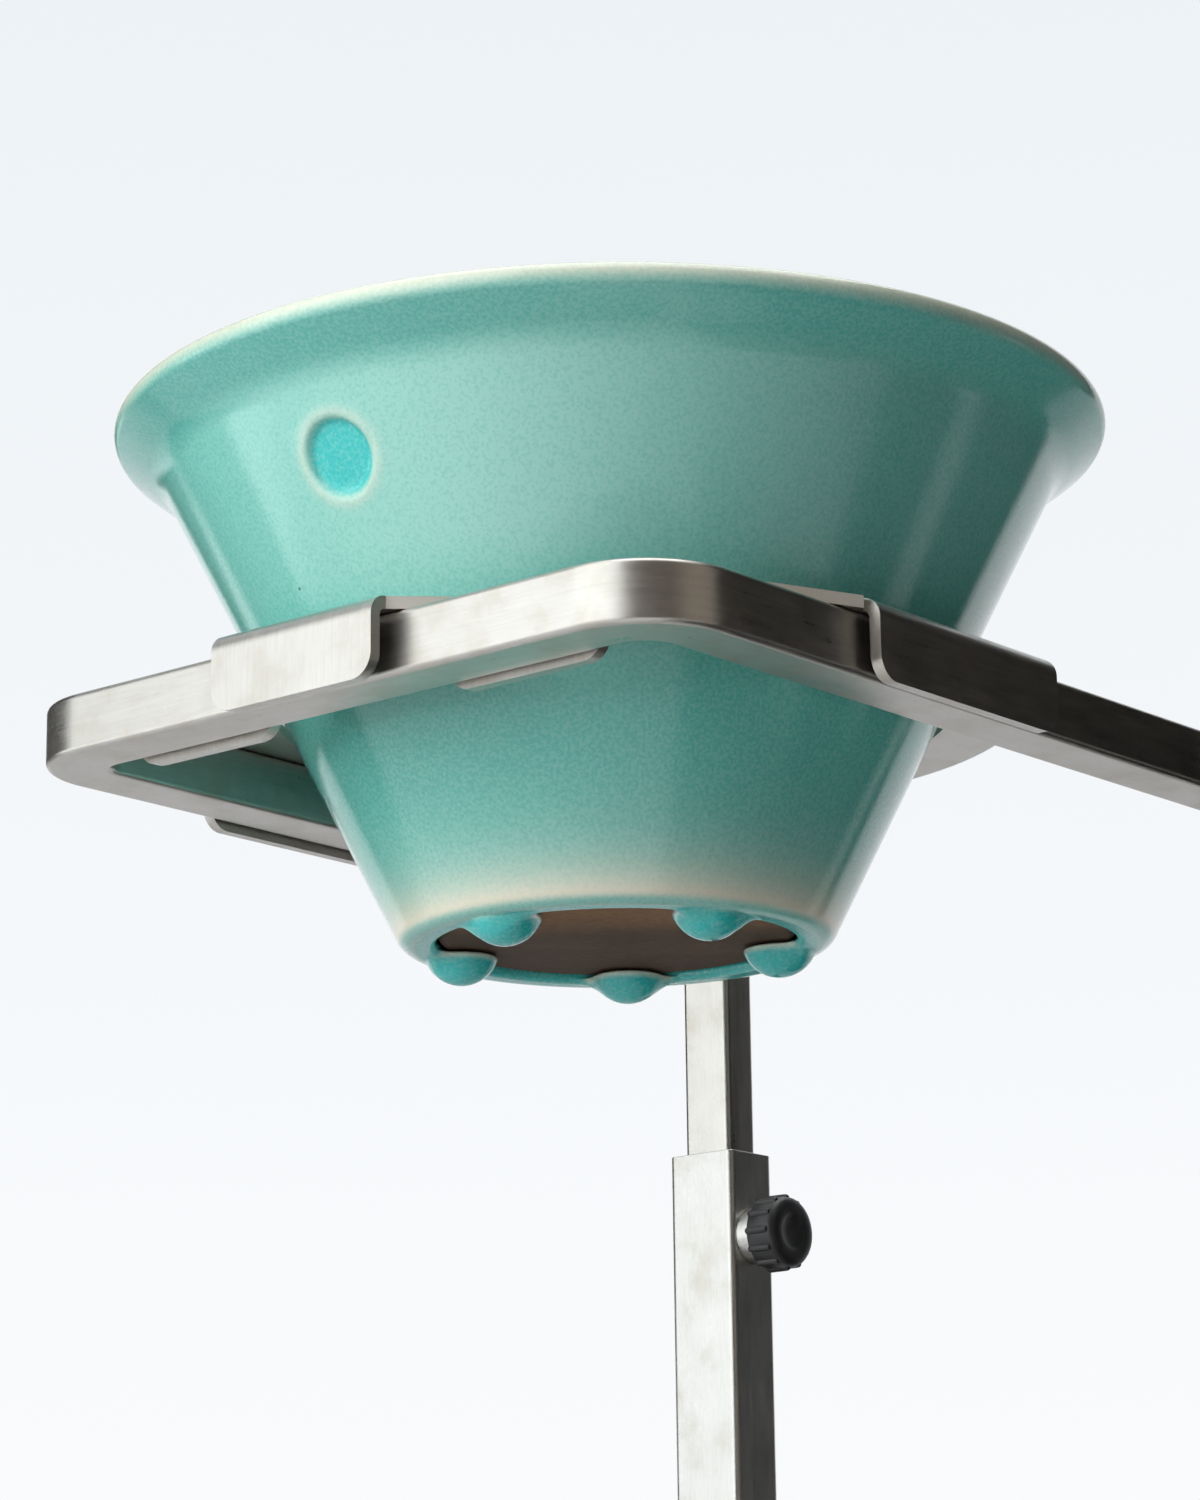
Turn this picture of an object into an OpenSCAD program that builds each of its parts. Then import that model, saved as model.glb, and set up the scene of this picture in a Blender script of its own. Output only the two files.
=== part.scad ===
// Pour-over coffee dripper: a glazed cup in a sheet-steel ring on a height-adjustable stand.
// Millimetres, +Z up, origin on the table under the middle of the base plate.
// -Y is the front, where the stand's bar closes; +Y is the back, where the legs go down.

/* [Cup] */
// Outer diameter over the lip
rim_d = 125; // [118:0.5:132]
// Height of the cup without the drip lobes
cup_h = 66.7; // [60:0.1:74]
// Outer diameter at the bottom, before the edge is rounded
cup_base_d = 53; // [50:0.1:58]
// Outer diameter where the collar starts to flare
neck_d = 113.2; // [108:0.2:116]
// Height of the flared collar under the rim
collar_h = 6.8; // [6:0.1:9]
// Radius of the round lip
lip_r = 1.6; // [1.2:0.1:2]
// Radius of the hollow between cone and collar
neck_fillet_r = 8; // [4:0.5:10]
// Thickness of the wall where the collar starts, measured level
neck_wall = 2.6; // [2:0.1:3.6]
// Radius of the bottom's outer edge
base_edge_r = 2.6; // [1:0.1:3.5]
// Diameter of the outlet in the bottom
outlet_d = 43; // [38:0.5:45]
// Radius of the outlet's edge
outlet_edge_r = 1; // [0.4:0.1:1.6]

/* [Drip lobes] */
// Number of lobes round the outlet
lobe_count = 5; // [3:1:7]
// Diameter of the ball that each lobe is cut from
lobe_d = 9.6; // [8:0.2:11]
// How far the lobes hang below the bottom
lobe_drop = 2.9; // [2.4:0.1:3.6]
// Diameter of the circle through the lobes' centres
lobe_circle_d = 41.8; // [38:0.2:43]
// Height of the lobes' flat tops, which carry the paper
lobe_shelf_h = 0.6; // [0.4:0.1:3]

/* [Thumb dimple] */
// Diameter of the plain dimple on the cup's front
dimple_d = 9.4; // [6:0.2:11]
// Depth of the dimple
dimple_depth = 0.8; // [0.4:0.1:1.4]
// Height of the dimple's centre above the cup's bottom
dimple_h = 50.5; // [40:0.1:52]

/* [Paper filter] */
// Thickness of the paper
paper_t = 0.5; // [0.3:0.05:0.9]
// Height of the filter
paper_h = 55; // [40:0.5:57]
// Gap between paper and cup
paper_gap = 0.3; // [0.2:0.05:0.6]

/* [Stand frame] */
// Height of the frame's underside above the table
frame_z = 165; // [145:1:190]
// Outer width over the two arms
frame_w = 103.7; // [102:0.1:107]
// Length from the front bar's face to the arms' ends
frame_l = 137.4; // [128:0.2:145]
// Distance from the front bar's face to the cup's axis
cup_setback = 54.4; // [53:0.1:57]
// Width of the bar
bar_w = 8; // [7:0.1:9]
// Height of the bar
bar_h = 7.6; // [6.5:0.1:9]
// Radius of the bar's long edges
bar_edge_r = 0.8; // [0.5:0.1:1]
// Outer radius of the two front bends
bend_r = 12; // [10.5:0.1:14]

/* [Adapter ring] */
// Thickness of the sheet
sheet_t = 1.5; // [1:0.1:2]
// Diameter of the plate's round back
ring_d = 102.6; // [100:0.2:106]
// Half the width of the plate's straight front
wing_w = 40.5; // [38.5:0.5:42]
// How far the plate's front lies on the front bar
ring_rest = 3.2; // [2:0.1:4]
// Height on the cup's cone where it rests in the hole
seat_h = 30.6; // [27:0.1:33]
// Gap between the cup's cone and the hole's upper edge
cup_gap = 0.3; // [0.2:0.05:0.6]
// Inner radius of the bends
tab_bend_r = 1; // [0.6:0.1:1.1]
// Radius of the tabs' lower corners
tab_corner_r = 3; // [1:0.2:4]
// How far the tabs reach below the bar
tab_reach = 0.7; // [0.3:0.1:3]
// Width of the outer tab at the front
front_tab_w = 25.5; // [16:0.5:27]
// Gap between the front tab and the bar
front_tab_gap = 2; // [1.2:0.1:2.6]
// How much the front tab's strap widens on each side towards the plate
strap_flare = 7; // [2:0.5:9]
// Width of the outer tabs at the sides
side_tab_w = 35.5; // [24:0.5:40]
// Gap between the side tabs and the arms
side_tab_gap = 1.2; // [1:0.1:2]
// Width of each inner tab
inner_tab_w = 23; // [14:0.5:23]
// Distance between the two inner tabs
inner_tab_space = 28; // [27.6:0.2:30]
// Gap between the inner tabs and the bar
inner_tab_gap = 0.4; // [0.4:0.1:0.8]

/* [Legs and sleeves] */
// Thickness of a leg from front to back
leg_t = 6.2; // [5:0.1:8]
// Length of a leg below the frame
leg_l = 93; // [80:1:110]
// Gap between leg and sleeve on each side
slide_gap = 0.1; // [0.05:0.01:0.3]
// Wall of the sleeve
sleeve_wall = 1.5; // [1:0.1:2.2]
// Length of the sleeve
sleeve_l = 122; // [105:1:130]
// Radius of the sleeve's long edges
sleeve_edge_r = 0.9; // [0.5:0.1:1]
// Height of the plug in the sleeve's lower end
plug_h = 18; // [16:0.5:22]

/* [Thumbscrews] */
// Distance from the sleeve's top to the thumbscrew's axis
clamp_drop = 12; // [8:0.5:18]
// Diameter of the threaded boss
boss_d = 8; // [7:0.2:9]
// Length of the boss
boss_l = 2.2; // [1.6:0.1:3]
// Diameter of the screw
stud_d = 4; // [3:0.5:5]
// Gap between screw and boss
stud_gap = 0.05; // [0.02:0.01:0.1]
// Diameter of the knob
knob_d = 11; // [9:0.2:14]
// Length of the knob
knob_l = 4.7; // [4:0.1:8]
// Gap between knob and boss
knob_gap = 0.4; // [0.3:0.1:1]
// Number of grip flutes round the knob
knob_flutes = 12; // [8:1:16]

/* [Base] */
// Width of the base plate
base_w = 130; // [126:1:160]
// Length of the base plate
base_l = 158; // [156:1:190]
// Thickness of the base plate
base_t = 6; // [6:0.5:10]
// Radius of the plate's corners
base_corner_r = 12; // [6:0.5:18]
// Distance from the plate's back edge to the legs' centres
leg_inset = 12.1; // [10:0.1:20]
// Diameter of a rubber foot
foot_d = 16; // [13:0.5:20]
// Height of a foot
foot_h = 4; // [3.5:0.1:6]
// Distance from the plate's front and side edges to a foot's centre
foot_inset = 15; // [12:0.5:20]
// Distance from the plate's back edge to a rear foot's centre
rear_foot_inset = 32; // [28:0.5:40]
// Diameter of the screws that hold the feet
foot_screw_d = 3; // [2.5:0.5:3.5]
// Diameter of the screws that hold the sleeves
sleeve_screw_d = 4; // [3:0.5:4]
// Gap between a screw and its hole
screw_gap = 0.05; // [0.03:0.01:0.2]

/* [Hidden] */
$fn = 96;
steel = [0.72, 0.71, 0.69];
celadon = [0.42, 0.72, 0.66];
kraft = [0.45, 0.31, 0.21];
black = [0.06, 0.06, 0.06];

// Heights and places on the stand
base_top = foot_h + base_t;
frame_top = frame_z + bar_h;
ring_top = frame_top + sheet_t;
leg_x = (frame_w - bar_w) / 2;
leg_y = base_l / 2 - leg_inset;
frame_y = leg_y + leg_t / 2 - frame_l;
cup_y = frame_y + cup_setback;
bore_w = bar_w + 2 * slide_gap;
bore_l = leg_t + 2 * slide_gap;
sleeve_w = bore_w + 2 * sleeve_wall;
clamp_z = base_top + sleeve_l - clamp_drop;

// The cup's cone, and how deep it sinks into the ring
cone_h = cup_h - collar_h;
cone_slope = (neck_d - cup_base_d) / 2 / cone_h;
cup_z = ring_top - seat_h;
ring_hole_r = cup_base_d / 2 + cone_slope * seat_h + cup_gap;
lip_centre = [rim_d / 2 - lip_r, cup_h - lip_r];
neck = [neck_d / 2, cone_h];
inner_neck = [neck_d / 2 - neck_wall, cone_h];
wall_slope = (inner_neck[0] - outlet_d / 2) / inner_neck[1];
lobe_z = lobe_d / 2 - lobe_drop;

// Screw heads, how deep they sit, and how far the shanks go in
head_sink = 0.4;
head_gap = 0.3;
hole_end = 0.5;
foot_head_h = 0.55 * foot_screw_d;
foot_head_r = 0.95 * foot_screw_d;
foot_seat_h = foot_head_h + head_sink;
foot_screw_l = 0.75 * base_t;
sleeve_head_h = 0.65 * sleeve_screw_d;
sleeve_head_r = 0.9 * sleeve_screw_d;
sleeve_seat_h = sleeve_head_h + head_sink;
sleeve_screw_l = 0.7 * plug_h;

// One of the two points where a line from p touches a circle
function touch_point(p, centre, r, side) =
    let (away = p - centre, turn = side * acos(r / norm(away)), start = atan2(away[1], away[0]))
    centre + r * [cos(start + turn), sin(start + turn)];

// Points of an arc round a centre, from one point on it to another, the short way or always to the left
function arc_between(from, to, centre, steps, to_left = false) =
    let (
        first = atan2(from[1] - centre[1], from[0] - centre[0]),
        last = atan2(to[1] - centre[1], to[0] - centre[0]),
        short = (last - first + 540) % 360 - 180,
        sweep = to_left ? (last - first + 720) % 360 : short,
        r = norm(from - centre)
    )
    [for (i = [0 : steps]) centre + r * [cos(first + sweep * i / steps), sin(first + sweep * i / steps)]];

// Points of an arc that rounds corner b between a and c
function corner_arc(a, b, c, r, steps = 8) =
    let (
        to_a = (a - b) / norm(a - b),
        to_c = (c - b) / norm(c - b),
        half = acos(to_a * to_c) / 2,
        middle = (to_a + to_c) / norm(to_a + to_c),
        centre = b + middle * r / sin(half),
        tangent = r / tan(half)
    )
    arc_between(b + to_a * tangent, b + to_c * tangent, centre, steps);

// Rectangle round the origin with its corners rounded
module rounded_rectangle(w, l, r) {
    square([w, l - 2 * r], center = true);
    square([w - 2 * r, l], center = true);
    for (x = [-1, 1], y = [-1, 1])
        translate([x * (w / 2 - r), y * (l / 2 - r)]) circle(r);
}

// Half section of the cup's wall, from the outlet up to the lip
module cup_section() {
    outlet = [outlet_d / 2, 0];
    base = [cup_base_d / 2, 0];
    flare_end = touch_point(neck, lip_centre, lip_r, 1);
    inner_end = touch_point(inner_neck, lip_centre, lip_r, -1);
    polygon(concat(
        corner_arc(inner_neck, outlet, base, outlet_edge_r, 4),
        corner_arc(outlet, base, neck, base_edge_r, 6),
        corner_arc(base, neck, flare_end, neck_fillet_r, 6),
        arc_between(flare_end, inner_end, lip_centre, 16, true),
        corner_arc(inner_end, inner_neck, outlet, neck_fillet_r, 6)
    ));
}

// Lobe at the front of the outlet: a ball cut off flat where the paper rests
module drip_lobe() {
    intersection() {
        translate([0, -lobe_circle_d / 2, lobe_z]) sphere(d = lobe_d);
        translate([0, -lobe_circle_d / 2, lobe_shelf_h - lobe_d]) cube(2 * lobe_d, center = true);
    }
}

module dripper_cup() {
    tilt = atan(cone_slope);
    wall_r = cup_base_d / 2 + cone_slope * dimple_h;
    color(celadon) translate([0, cup_y, cup_z]) difference() {
        union() {
            rotate_extrude() cup_section();
            for (i = [0 : lobe_count - 1]) rotate(360 * i / lobe_count) drip_lobe();
        }
        translate([0, -wall_r, dimple_h]) rotate([90 + tilt, 0, 0])
            translate([0, 0, -dimple_depth]) cylinder(d = dimple_d, h = 6);
    }
}

// Flat-bottomed cone that lies on the lobes and along the cup's wall
module paper_filter() {
    floor_h = lobe_shelf_h + paper_gap;
    wall_gap = paper_gap * sqrt(1 + wall_slope * wall_slope);
    wall_w = paper_t * sqrt(1 + wall_slope * wall_slope);
    floor_r = outlet_d / 2 + wall_slope * floor_h - wall_gap;
    top_r = floor_r + wall_slope * paper_h;
    inner_r = floor_r + wall_slope * paper_t - wall_w;
    color(kraft) translate([0, cup_y, cup_z + floor_h]) rotate_extrude() polygon([
        [0, 0], [floor_r, 0], [top_r, paper_h], [top_r - wall_w, paper_h], [inner_r, paper_t], [0, paper_t]
    ]);
}

// Tab of bent sheet: flat up to y = 0, then round a bend and down to z = -drop
module bent_tab(w, drop, flat_l) {
    bend_out = tab_bend_r + sheet_t;
    face_h = drop - tab_bend_r;
    translate([-w / 2, 0, 0]) rotate([90, 0, 90]) linear_extrude(w) {
        translate([-flat_l, 0]) square([flat_l - tab_bend_r, sheet_t]);
        translate([-tab_bend_r, -tab_bend_r]) intersection() {
            difference() {
                circle(bend_out);
                circle(tab_bend_r);
            }
            square(bend_out);
        }
    }
    translate([0, sheet_t, -tab_bend_r]) rotate([90, 0, 0]) linear_extrude(sheet_t) polygon(concat(
        [[w / 2, 0], [-w / 2, 0]],
        corner_arc([-w / 2, 0], [-w / 2, -face_h], [0, -face_h], tab_corner_r),
        corner_arc([0, -face_h], [w / 2, -face_h], [w / 2, 0], tab_corner_r)
    ));
}

// Flat plate of the ring before the tabs: round at the back, straight at the front,
// with slanting flanks that run out to the side tabs
module ring_outline() {
    front = cup_setback - bar_w + ring_rest;
    strap_y = cup_setback + front_tab_gap - tab_bend_r;
    strap_w = front_tab_w / 2;
    bend_x = frame_w / 2 + side_tab_gap - tab_bend_r;
    tab_end = -side_tab_w / 2;
    tip = [bend_x + tab_bend_r, tab_end - tab_bend_r];
    circle(d = ring_d);
    for (side = [0, 1]) mirror([side, 0]) {
        polygon(concat(
            corner_arc([0, -front], [wing_w, -front], tip, tab_corner_r),
            [tip, [bend_x, tab_end], [bend_x, 0], [-1, 0], [-1, -front]]
        ));
        polygon([[-1, -strap_y], [strap_w, -strap_y], [strap_w + strap_flare, 1 - front], [-1, 1 - front]]);
    }
}

module adapter_ring() {
    drop = bar_h + tab_reach;
    inner_y = cup_setback - bar_w - inner_tab_gap;
    inner_x = (inner_tab_space + inner_tab_w) / 2;
    front_y = cup_setback + front_tab_gap;
    side_x = frame_w / 2 + side_tab_gap;
    color(steel) translate([0, cup_y, frame_top]) {
        linear_extrude(sheet_t) difference() {
            ring_outline();
            circle(ring_hole_r);
            // Windows that the inner tabs are folded out of
            for (side = [-1, 1])
                translate([side * inner_x, drop / 2 - inner_y])
                    square([inner_tab_w, drop + 2 * tab_bend_r], center = true);
        }
        translate([0, -front_y, 0]) rotate(180)
            bent_tab(front_tab_w, drop, front_tab_gap + bar_w / 2);
        for (side = [-1, 1]) {
            translate([side * side_x, 0, 0]) rotate(-90 * side)
                bent_tab(side_tab_w, drop, side_tab_gap + 0.6 * bar_w);
            translate([side * inner_x, -inner_y, 0]) bent_tab(inner_tab_w, drop, inner_tab_gap + ring_rest);
        }
    }
}

// One bar bent into a U: the front bar, two bends and two arms
module u_frame() {
    bend_x = frame_w / 2 - bend_r;
    arm_l = frame_l - bend_r;
    color(steel) translate([0, frame_y, frame_z + bar_h / 2]) {
        translate([0, bar_w / 2, 0]) rotate([90, 0, 90])
            linear_extrude(2 * bend_x, center = true) rounded_rectangle(bar_w, bar_h, bar_edge_r);
        for (side = [-1, 1]) {
            translate([side * bend_x, bend_r, 0]) rotate(side > 0 ? -90 : 180) rotate_extrude(angle = 90)
                translate([bend_r - bar_w / 2, 0]) rounded_rectangle(bar_w, bar_h, bar_edge_r);
            translate([side * leg_x, bend_r + arm_l, 0]) rotate([90, 0, 0])
                linear_extrude(arm_l) rounded_rectangle(bar_w, bar_h, bar_edge_r);
        }
    }
}

// Flat bar that stands under an arm's end and slides in its sleeve
module leg(side) {
    color(steel) translate([side * leg_x, leg_y, frame_z - leg_l])
        linear_extrude(leg_l) rounded_rectangle(bar_w, leg_t, bar_edge_r);
}

// Rectangular tube with a hole for the thumbscrew on the side that faces the other leg
module sleeve(side) {
    color(steel) translate([side * leg_x, leg_y, base_top]) difference() {
        linear_extrude(sleeve_l) difference() {
            rounded_rectangle(sleeve_w, bore_l + 2 * sleeve_wall, sleeve_edge_r);
            square([bore_w, bore_l], center = true);
        }
        translate([-side * bore_w / 2, 0, sleeve_l - clamp_drop]) rotate([0, -90 * side, 0])
            cylinder(d = stud_d + 2 * stud_gap, h = 4 * sleeve_wall, center = true);
    }
}

// Tapped block in the sleeve's lower end
module sleeve_plug(side) {
    color(steel) translate([side * leg_x, leg_y, base_top]) difference() {
        translate([0, 0, plug_h / 2]) cube([bore_w, bore_l, plug_h], center = true);
        translate([0, 0, -1]) cylinder(d = sleeve_screw_d + 2 * screw_gap, h = 1 + sleeve_screw_l + hole_end);
    }
}

// Point on the sleeve's face where a thumbscrew goes in, with +Z pointing out along the screw
module at_clamp(side) {
    translate([side * (leg_x - sleeve_w / 2), leg_y, clamp_z]) rotate([0, -90 * side, 0]) children();
}

module clamp_boss(side) {
    color(steel) at_clamp(side) difference() {
        cylinder(d = boss_d, h = boss_l);
        translate([0, 0, -1]) cylinder(d = stud_d + 2 * stud_gap, h = boss_l + 2);
    }
}

module thumbscrew_stud(side) {
    color(steel) at_clamp(side) translate([0, 0, -sleeve_wall])
        cylinder(d = stud_d, h = sleeve_wall + boss_l + knob_gap + knob_l / 2);
}

// Round grip with flutes, bored for the screw's end
module thumbscrew_knob(side) {
    flute_r = 0.1 * knob_d;
    edge = 0.08 * knob_d;
    color(black) at_clamp(side) translate([0, 0, boss_l + knob_gap]) difference() {
        union() {
            cylinder(d = knob_d, h = knob_l - edge);
            translate([0, 0, knob_l - edge]) cylinder(d1 = knob_d, d2 = knob_d - 2 * edge, h = edge);
        }
        translate([0, 0, -1]) cylinder(d = stud_d, h = knob_l / 2 + 1);
        for (i = [0 : knob_flutes - 1]) rotate(360 * i / knob_flutes)
            translate([knob_d / 2 + 0.6 * flute_r, 0, -1]) cylinder(r = flute_r, h = knob_l + 2);
    }
}

// Places of the feet
function foot_place(x, y) =
    [x * (base_w / 2 - foot_inset), y * (base_l / 2 - (y > 0 ? rear_foot_inset : foot_inset)), 0];

module base_plate() {
    color(steel) difference() {
        translate([0, 0, foot_h]) linear_extrude(base_t) rounded_rectangle(base_w, base_l, base_corner_r);
        for (x = [-1, 1], y = [-1, 1]) translate(foot_place(x, y))
            cylinder(d = foot_screw_d + 2 * screw_gap, h = foot_h + foot_screw_l + hole_end);
        for (side = [-1, 1]) translate([side * leg_x, leg_y, 0]) {
            cylinder(r = sleeve_head_r + head_gap, h = foot_h + sleeve_seat_h);
            cylinder(d = sleeve_screw_d + 2 * screw_gap, h = base_top + 1);
        }
    }
}

// Rubber foot with a hole and a seat for its screw
module foot(x, y) {
    color(black) translate(foot_place(x, y)) rotate_extrude() polygon([
        [foot_head_r + head_gap, 0], [foot_d / 2 - 1, 0], [foot_d / 2, 1], [foot_d / 2, foot_h],
        [foot_screw_d / 2 + screw_gap, foot_h], [foot_screw_d / 2 + screw_gap, foot_seat_h],
        [foot_head_r + head_gap, foot_seat_h]
    ]);
}

// Screw with a round head at z = 0 and its shank upwards
module cap_screw(d, head_r, head_h, shank_l) {
    difference() {
        union() {
            translate([0, 0, -head_h]) cylinder(r = head_r, h = head_h);
            cylinder(d = d, h = shank_l);
        }
        translate([0, 0, -head_h - 1]) cylinder(r = 0.33 * d, h = 1 + 0.6 * head_h, $fn = 6);
    }
}

module foot_screws() {
    shank_l = foot_h - foot_seat_h + foot_screw_l;
    color(steel) for (x = [-1, 1], y = [-1, 1]) translate(foot_place(x, y) + [0, 0, foot_seat_h])
        cap_screw(foot_screw_d, foot_head_r, foot_head_h, shank_l);
}

module sleeve_screws() {
    shank_l = base_t - sleeve_seat_h + sleeve_screw_l;
    color(steel) for (side = [-1, 1]) translate([side * leg_x, leg_y, foot_h + sleeve_seat_h])
        cap_screw(sleeve_screw_d, sleeve_head_r, sleeve_head_h, shank_l);
}

dripper_cup();
paper_filter();
adapter_ring();
u_frame();
leg(-1);  // left_leg
leg(1);  // right_leg
sleeve(-1);  // left_sleeve
sleeve(1);  // right_sleeve
sleeve_plug(-1);  // left_sleeve_plug
sleeve_plug(1);  // right_sleeve_plug
clamp_boss(-1);  // left_clamp_boss
clamp_boss(1);  // right_clamp_boss
thumbscrew_stud(-1);  // left_thumbscrew_stud
thumbscrew_stud(1);  // right_thumbscrew_stud
thumbscrew_knob(-1);  // left_thumbscrew_knob
thumbscrew_knob(1);  // right_thumbscrew_knob
base_plate();
foot(-1, -1);  // front_left_foot
foot(1, -1);  // front_right_foot
foot(-1, 1);  // rear_left_foot
foot(1, 1);  // rear_right_foot
foot_screws();
sleeve_screws();
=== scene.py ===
"""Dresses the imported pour-over dripper: glazed cup, filter paper, brushed steel stand, knobs and feet."""

import math

import bmesh
import bpy
import numpy as np
from bpy.props import FloatProperty, FloatVectorProperty, IntProperty, PointerProperty
from mathutils import Matrix, Vector


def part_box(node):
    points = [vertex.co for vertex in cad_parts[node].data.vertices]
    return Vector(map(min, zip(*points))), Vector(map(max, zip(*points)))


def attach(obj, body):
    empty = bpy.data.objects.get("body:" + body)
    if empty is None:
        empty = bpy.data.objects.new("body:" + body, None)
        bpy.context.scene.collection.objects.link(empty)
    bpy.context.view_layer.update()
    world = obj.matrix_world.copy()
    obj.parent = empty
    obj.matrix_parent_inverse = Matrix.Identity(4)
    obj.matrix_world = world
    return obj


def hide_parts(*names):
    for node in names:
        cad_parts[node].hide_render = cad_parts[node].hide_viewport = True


bl_info = {
    "name": "Pour-over coffee dripper",
    "version": (1, 0, 0),
    "blender": (4, 5, 0),
    "location": "3D View > Sidebar > Dripper",
    "description": "Dresses the packed dripper with glaze, paper, brushed steel, plastic and rubber",
    "category": "Object",
}

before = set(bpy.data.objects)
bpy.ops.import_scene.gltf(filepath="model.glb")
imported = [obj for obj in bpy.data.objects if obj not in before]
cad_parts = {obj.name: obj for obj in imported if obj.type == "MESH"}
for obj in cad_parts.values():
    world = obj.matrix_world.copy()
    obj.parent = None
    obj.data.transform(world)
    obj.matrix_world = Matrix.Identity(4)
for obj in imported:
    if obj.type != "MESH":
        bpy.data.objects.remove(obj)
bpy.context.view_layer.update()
MM = 0.001
MERGE_DISTANCE = 2e-6
FLAT_WEIGHT = 80
CUP_AXIS_Y = -0.013
CAMERA_PLACE = (0.33514, -0.41464, 0.0344)
CAMERA_RIGHT = (0.7636, 0.6456, -0.0122)
CAMERA_UP = (0.1696, -0.1823, 0.9685)
FLOOR_HALF = 12.0
CARD_COLUMNS = 17
BISECTIONS = 30


def length(name, description, default):
    """A size in metres that a user may change."""
    return FloatProperty(
        name=name, description=description, default=default, min=0, unit="LENGTH", precision=5
    )


def power(name, description, default):
    """A lamp's power in watts that a user may change."""
    return FloatProperty(name=name, description=description, default=default, min=0, unit="POWER")


def colour(name, description, default):
    """A linear colour that a user may change."""
    return FloatVectorProperty(
        name=name, description=description, default=default, size=3, min=0, max=1, subtype="COLOR"
    )


class CupSettings(bpy.types.PropertyGroup):
    """Sizes and glaze colours of the cup."""

    height: length("Height", "Height of the cup without the lobes", 0.0667)
    base_d: length("Base diameter", "Outer diameter at the bottom before the edge is rounded", 0.053)
    neck_d: length("Neck diameter", "Outer diameter where the collar starts to flare", 0.1132)
    collar_h: length("Collar height", "Height of the flared collar", 0.0068)
    lip_r: length("Lip radius", "Radius of the round lip", 0.0016)
    neck_r: length("Neck radius", "Radius of the hollow between cone and collar", 0.008)
    neck_wall: length("Neck wall", "Thickness of the wall where the collar starts", 0.0026)
    base_edge_r: length("Base edge", "Radius of the bottom's outer edge", 0.0026)
    outlet_d: length("Outlet diameter", "Diameter of the opening in the bottom", 0.043)
    outlet_edge_r: length("Outlet edge", "Radius of the opening's edge", 0.001)
    lobe_count: IntProperty(name="Lobes", description="Number of drip lobes", default=5, min=1)
    lobe_d: length("Lobe diameter", "Diameter of the ball that each lobe follows", 0.0096)
    lobe_drop: length("Lobe drop", "How far the lobes hang below the bottom", 0.0029)
    lobe_circle_d: length("Lobe circle", "Diameter of the circle through the lobes' centres", 0.0418)
    lobe_shelf_h: length("Lobe shelf", "Height of the lobes' flat tops", 0.0006)
    lobe_blend: length("Lobe blend", "Width of the soft hollow round a lobe", 0.0026)
    dimple_d: length("Dimple diameter", "Diameter of the plain dimple", 0.0094)
    dimple_depth: length("Dimple depth", "Depth of the dimple", 0.0008)
    dimple_h: length("Dimple height", "Height of the dimple's centre", 0.0505)
    dimple_turn: FloatProperty(
        name="Dimple turn",
        description="How far the dimple stands from the front",
        default=0.035,
        subtype="ANGLE",
    )
    glaze: colour("Glaze", "Glaze of usual thickness", (0.142, 0.525, 0.456))
    pooled: colour("Pooled glaze", "Glaze where it runs together thickly", (0.025, 0.52, 0.51))
    # The pale glaze also paints a sheen, the soft reflection of the key light, on the cup's upper front.
    pale: colour("Pale glaze", "Glaze of the upper cone where it is opaque", (0.335, 0.655, 0.58))
    thin: colour("Thin glaze", "Clay that shows where the glaze breaks thin", (0.77, 0.76, 0.62))
    speck: colour("Specks", "Iron specks in the glaze", (0.03, 0.07, 0.06))


class PaperSettings(bpy.types.PropertyGroup):
    """Sizes and colours of the filter paper."""

    thickness: length("Thickness", "Thickness of the paper", 0.0005)
    seam_w: length("Seam width", "Width of the crimped side seam", 0.006)
    dry: colour("Dry paper", "Upper part of the paper", (0.34, 0.20, 0.11))
    damp: colour("Damp paper", "Lower part of the paper", (0.085, 0.055, 0.036))


class SteelSettings(bpy.types.PropertyGroup):
    """Sizes and colours of the brushed steel."""

    bar_edge_r: length("Bar edge", "Radius of the bars' long edges", 0.0008)
    bend_r: length("Bend radius", "Outer radius of the frame's two bends", 0.012)
    eased: length("Eased edge", "Width of the broken edge on sheet and tube", 0.00022)
    plate_eased: length("Plate edge", "Width of the broken edge on the base plate", 0.0006)
    sheet_t: length("Sheet thickness", "Thickness of the ring's sheet", 0.0015)
    bar: colour("Bar", "Steel of the frame and legs", (0.56, 0.54, 0.51))
    sheet: colour("Sheet", "Steel of the ring", (0.58, 0.56, 0.53))
    tube: colour("Tube", "Steel of the sleeves", (0.60, 0.59, 0.57))
    plate: colour("Plate", "Steel of the base", (0.56, 0.55, 0.53))
    screw: colour("Screw", "Steel of studs and screws", (0.45, 0.45, 0.45))


class GripSettings(bpy.types.PropertyGroup):
    """Sizes and colours of the knobs and feet."""

    ridges: IntProperty(name="Ridges", description="Number of grip ridges round a knob", default=12, min=3)
    ridge_h: length("Ridge height", "How far the ridges stand out", 0.00044)
    plastic: colour("Plastic", "Knob plastic", (0.018, 0.018, 0.019))
    rubber: colour("Rubber", "Foot rubber", (0.022, 0.022, 0.023))


class StageSettings(bpy.types.PropertyGroup):
    """Camera, lamps and background."""

    lens: FloatProperty(name="Lens", description="Focal length in millimetres", default=104.0, min=1)
    floor: colour("Floor", "Colour of the floor", (0.86, 0.87, 0.885))
    background: colour("Background", "Colour of the background low down", (0.955, 0.965, 0.982))
    background_top: colour("Background above", "Colour of the background higher up", (0.845, 0.888, 0.922))
    key_power: power("Key power", "Power of the large front lamp", 20.0)
    top_power: power("Top power", "Power of the lamp overhead", 11.5)
    fill: FloatProperty(name="Fill", description="Strength of the even light all round", default=0.025, min=0)


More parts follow.
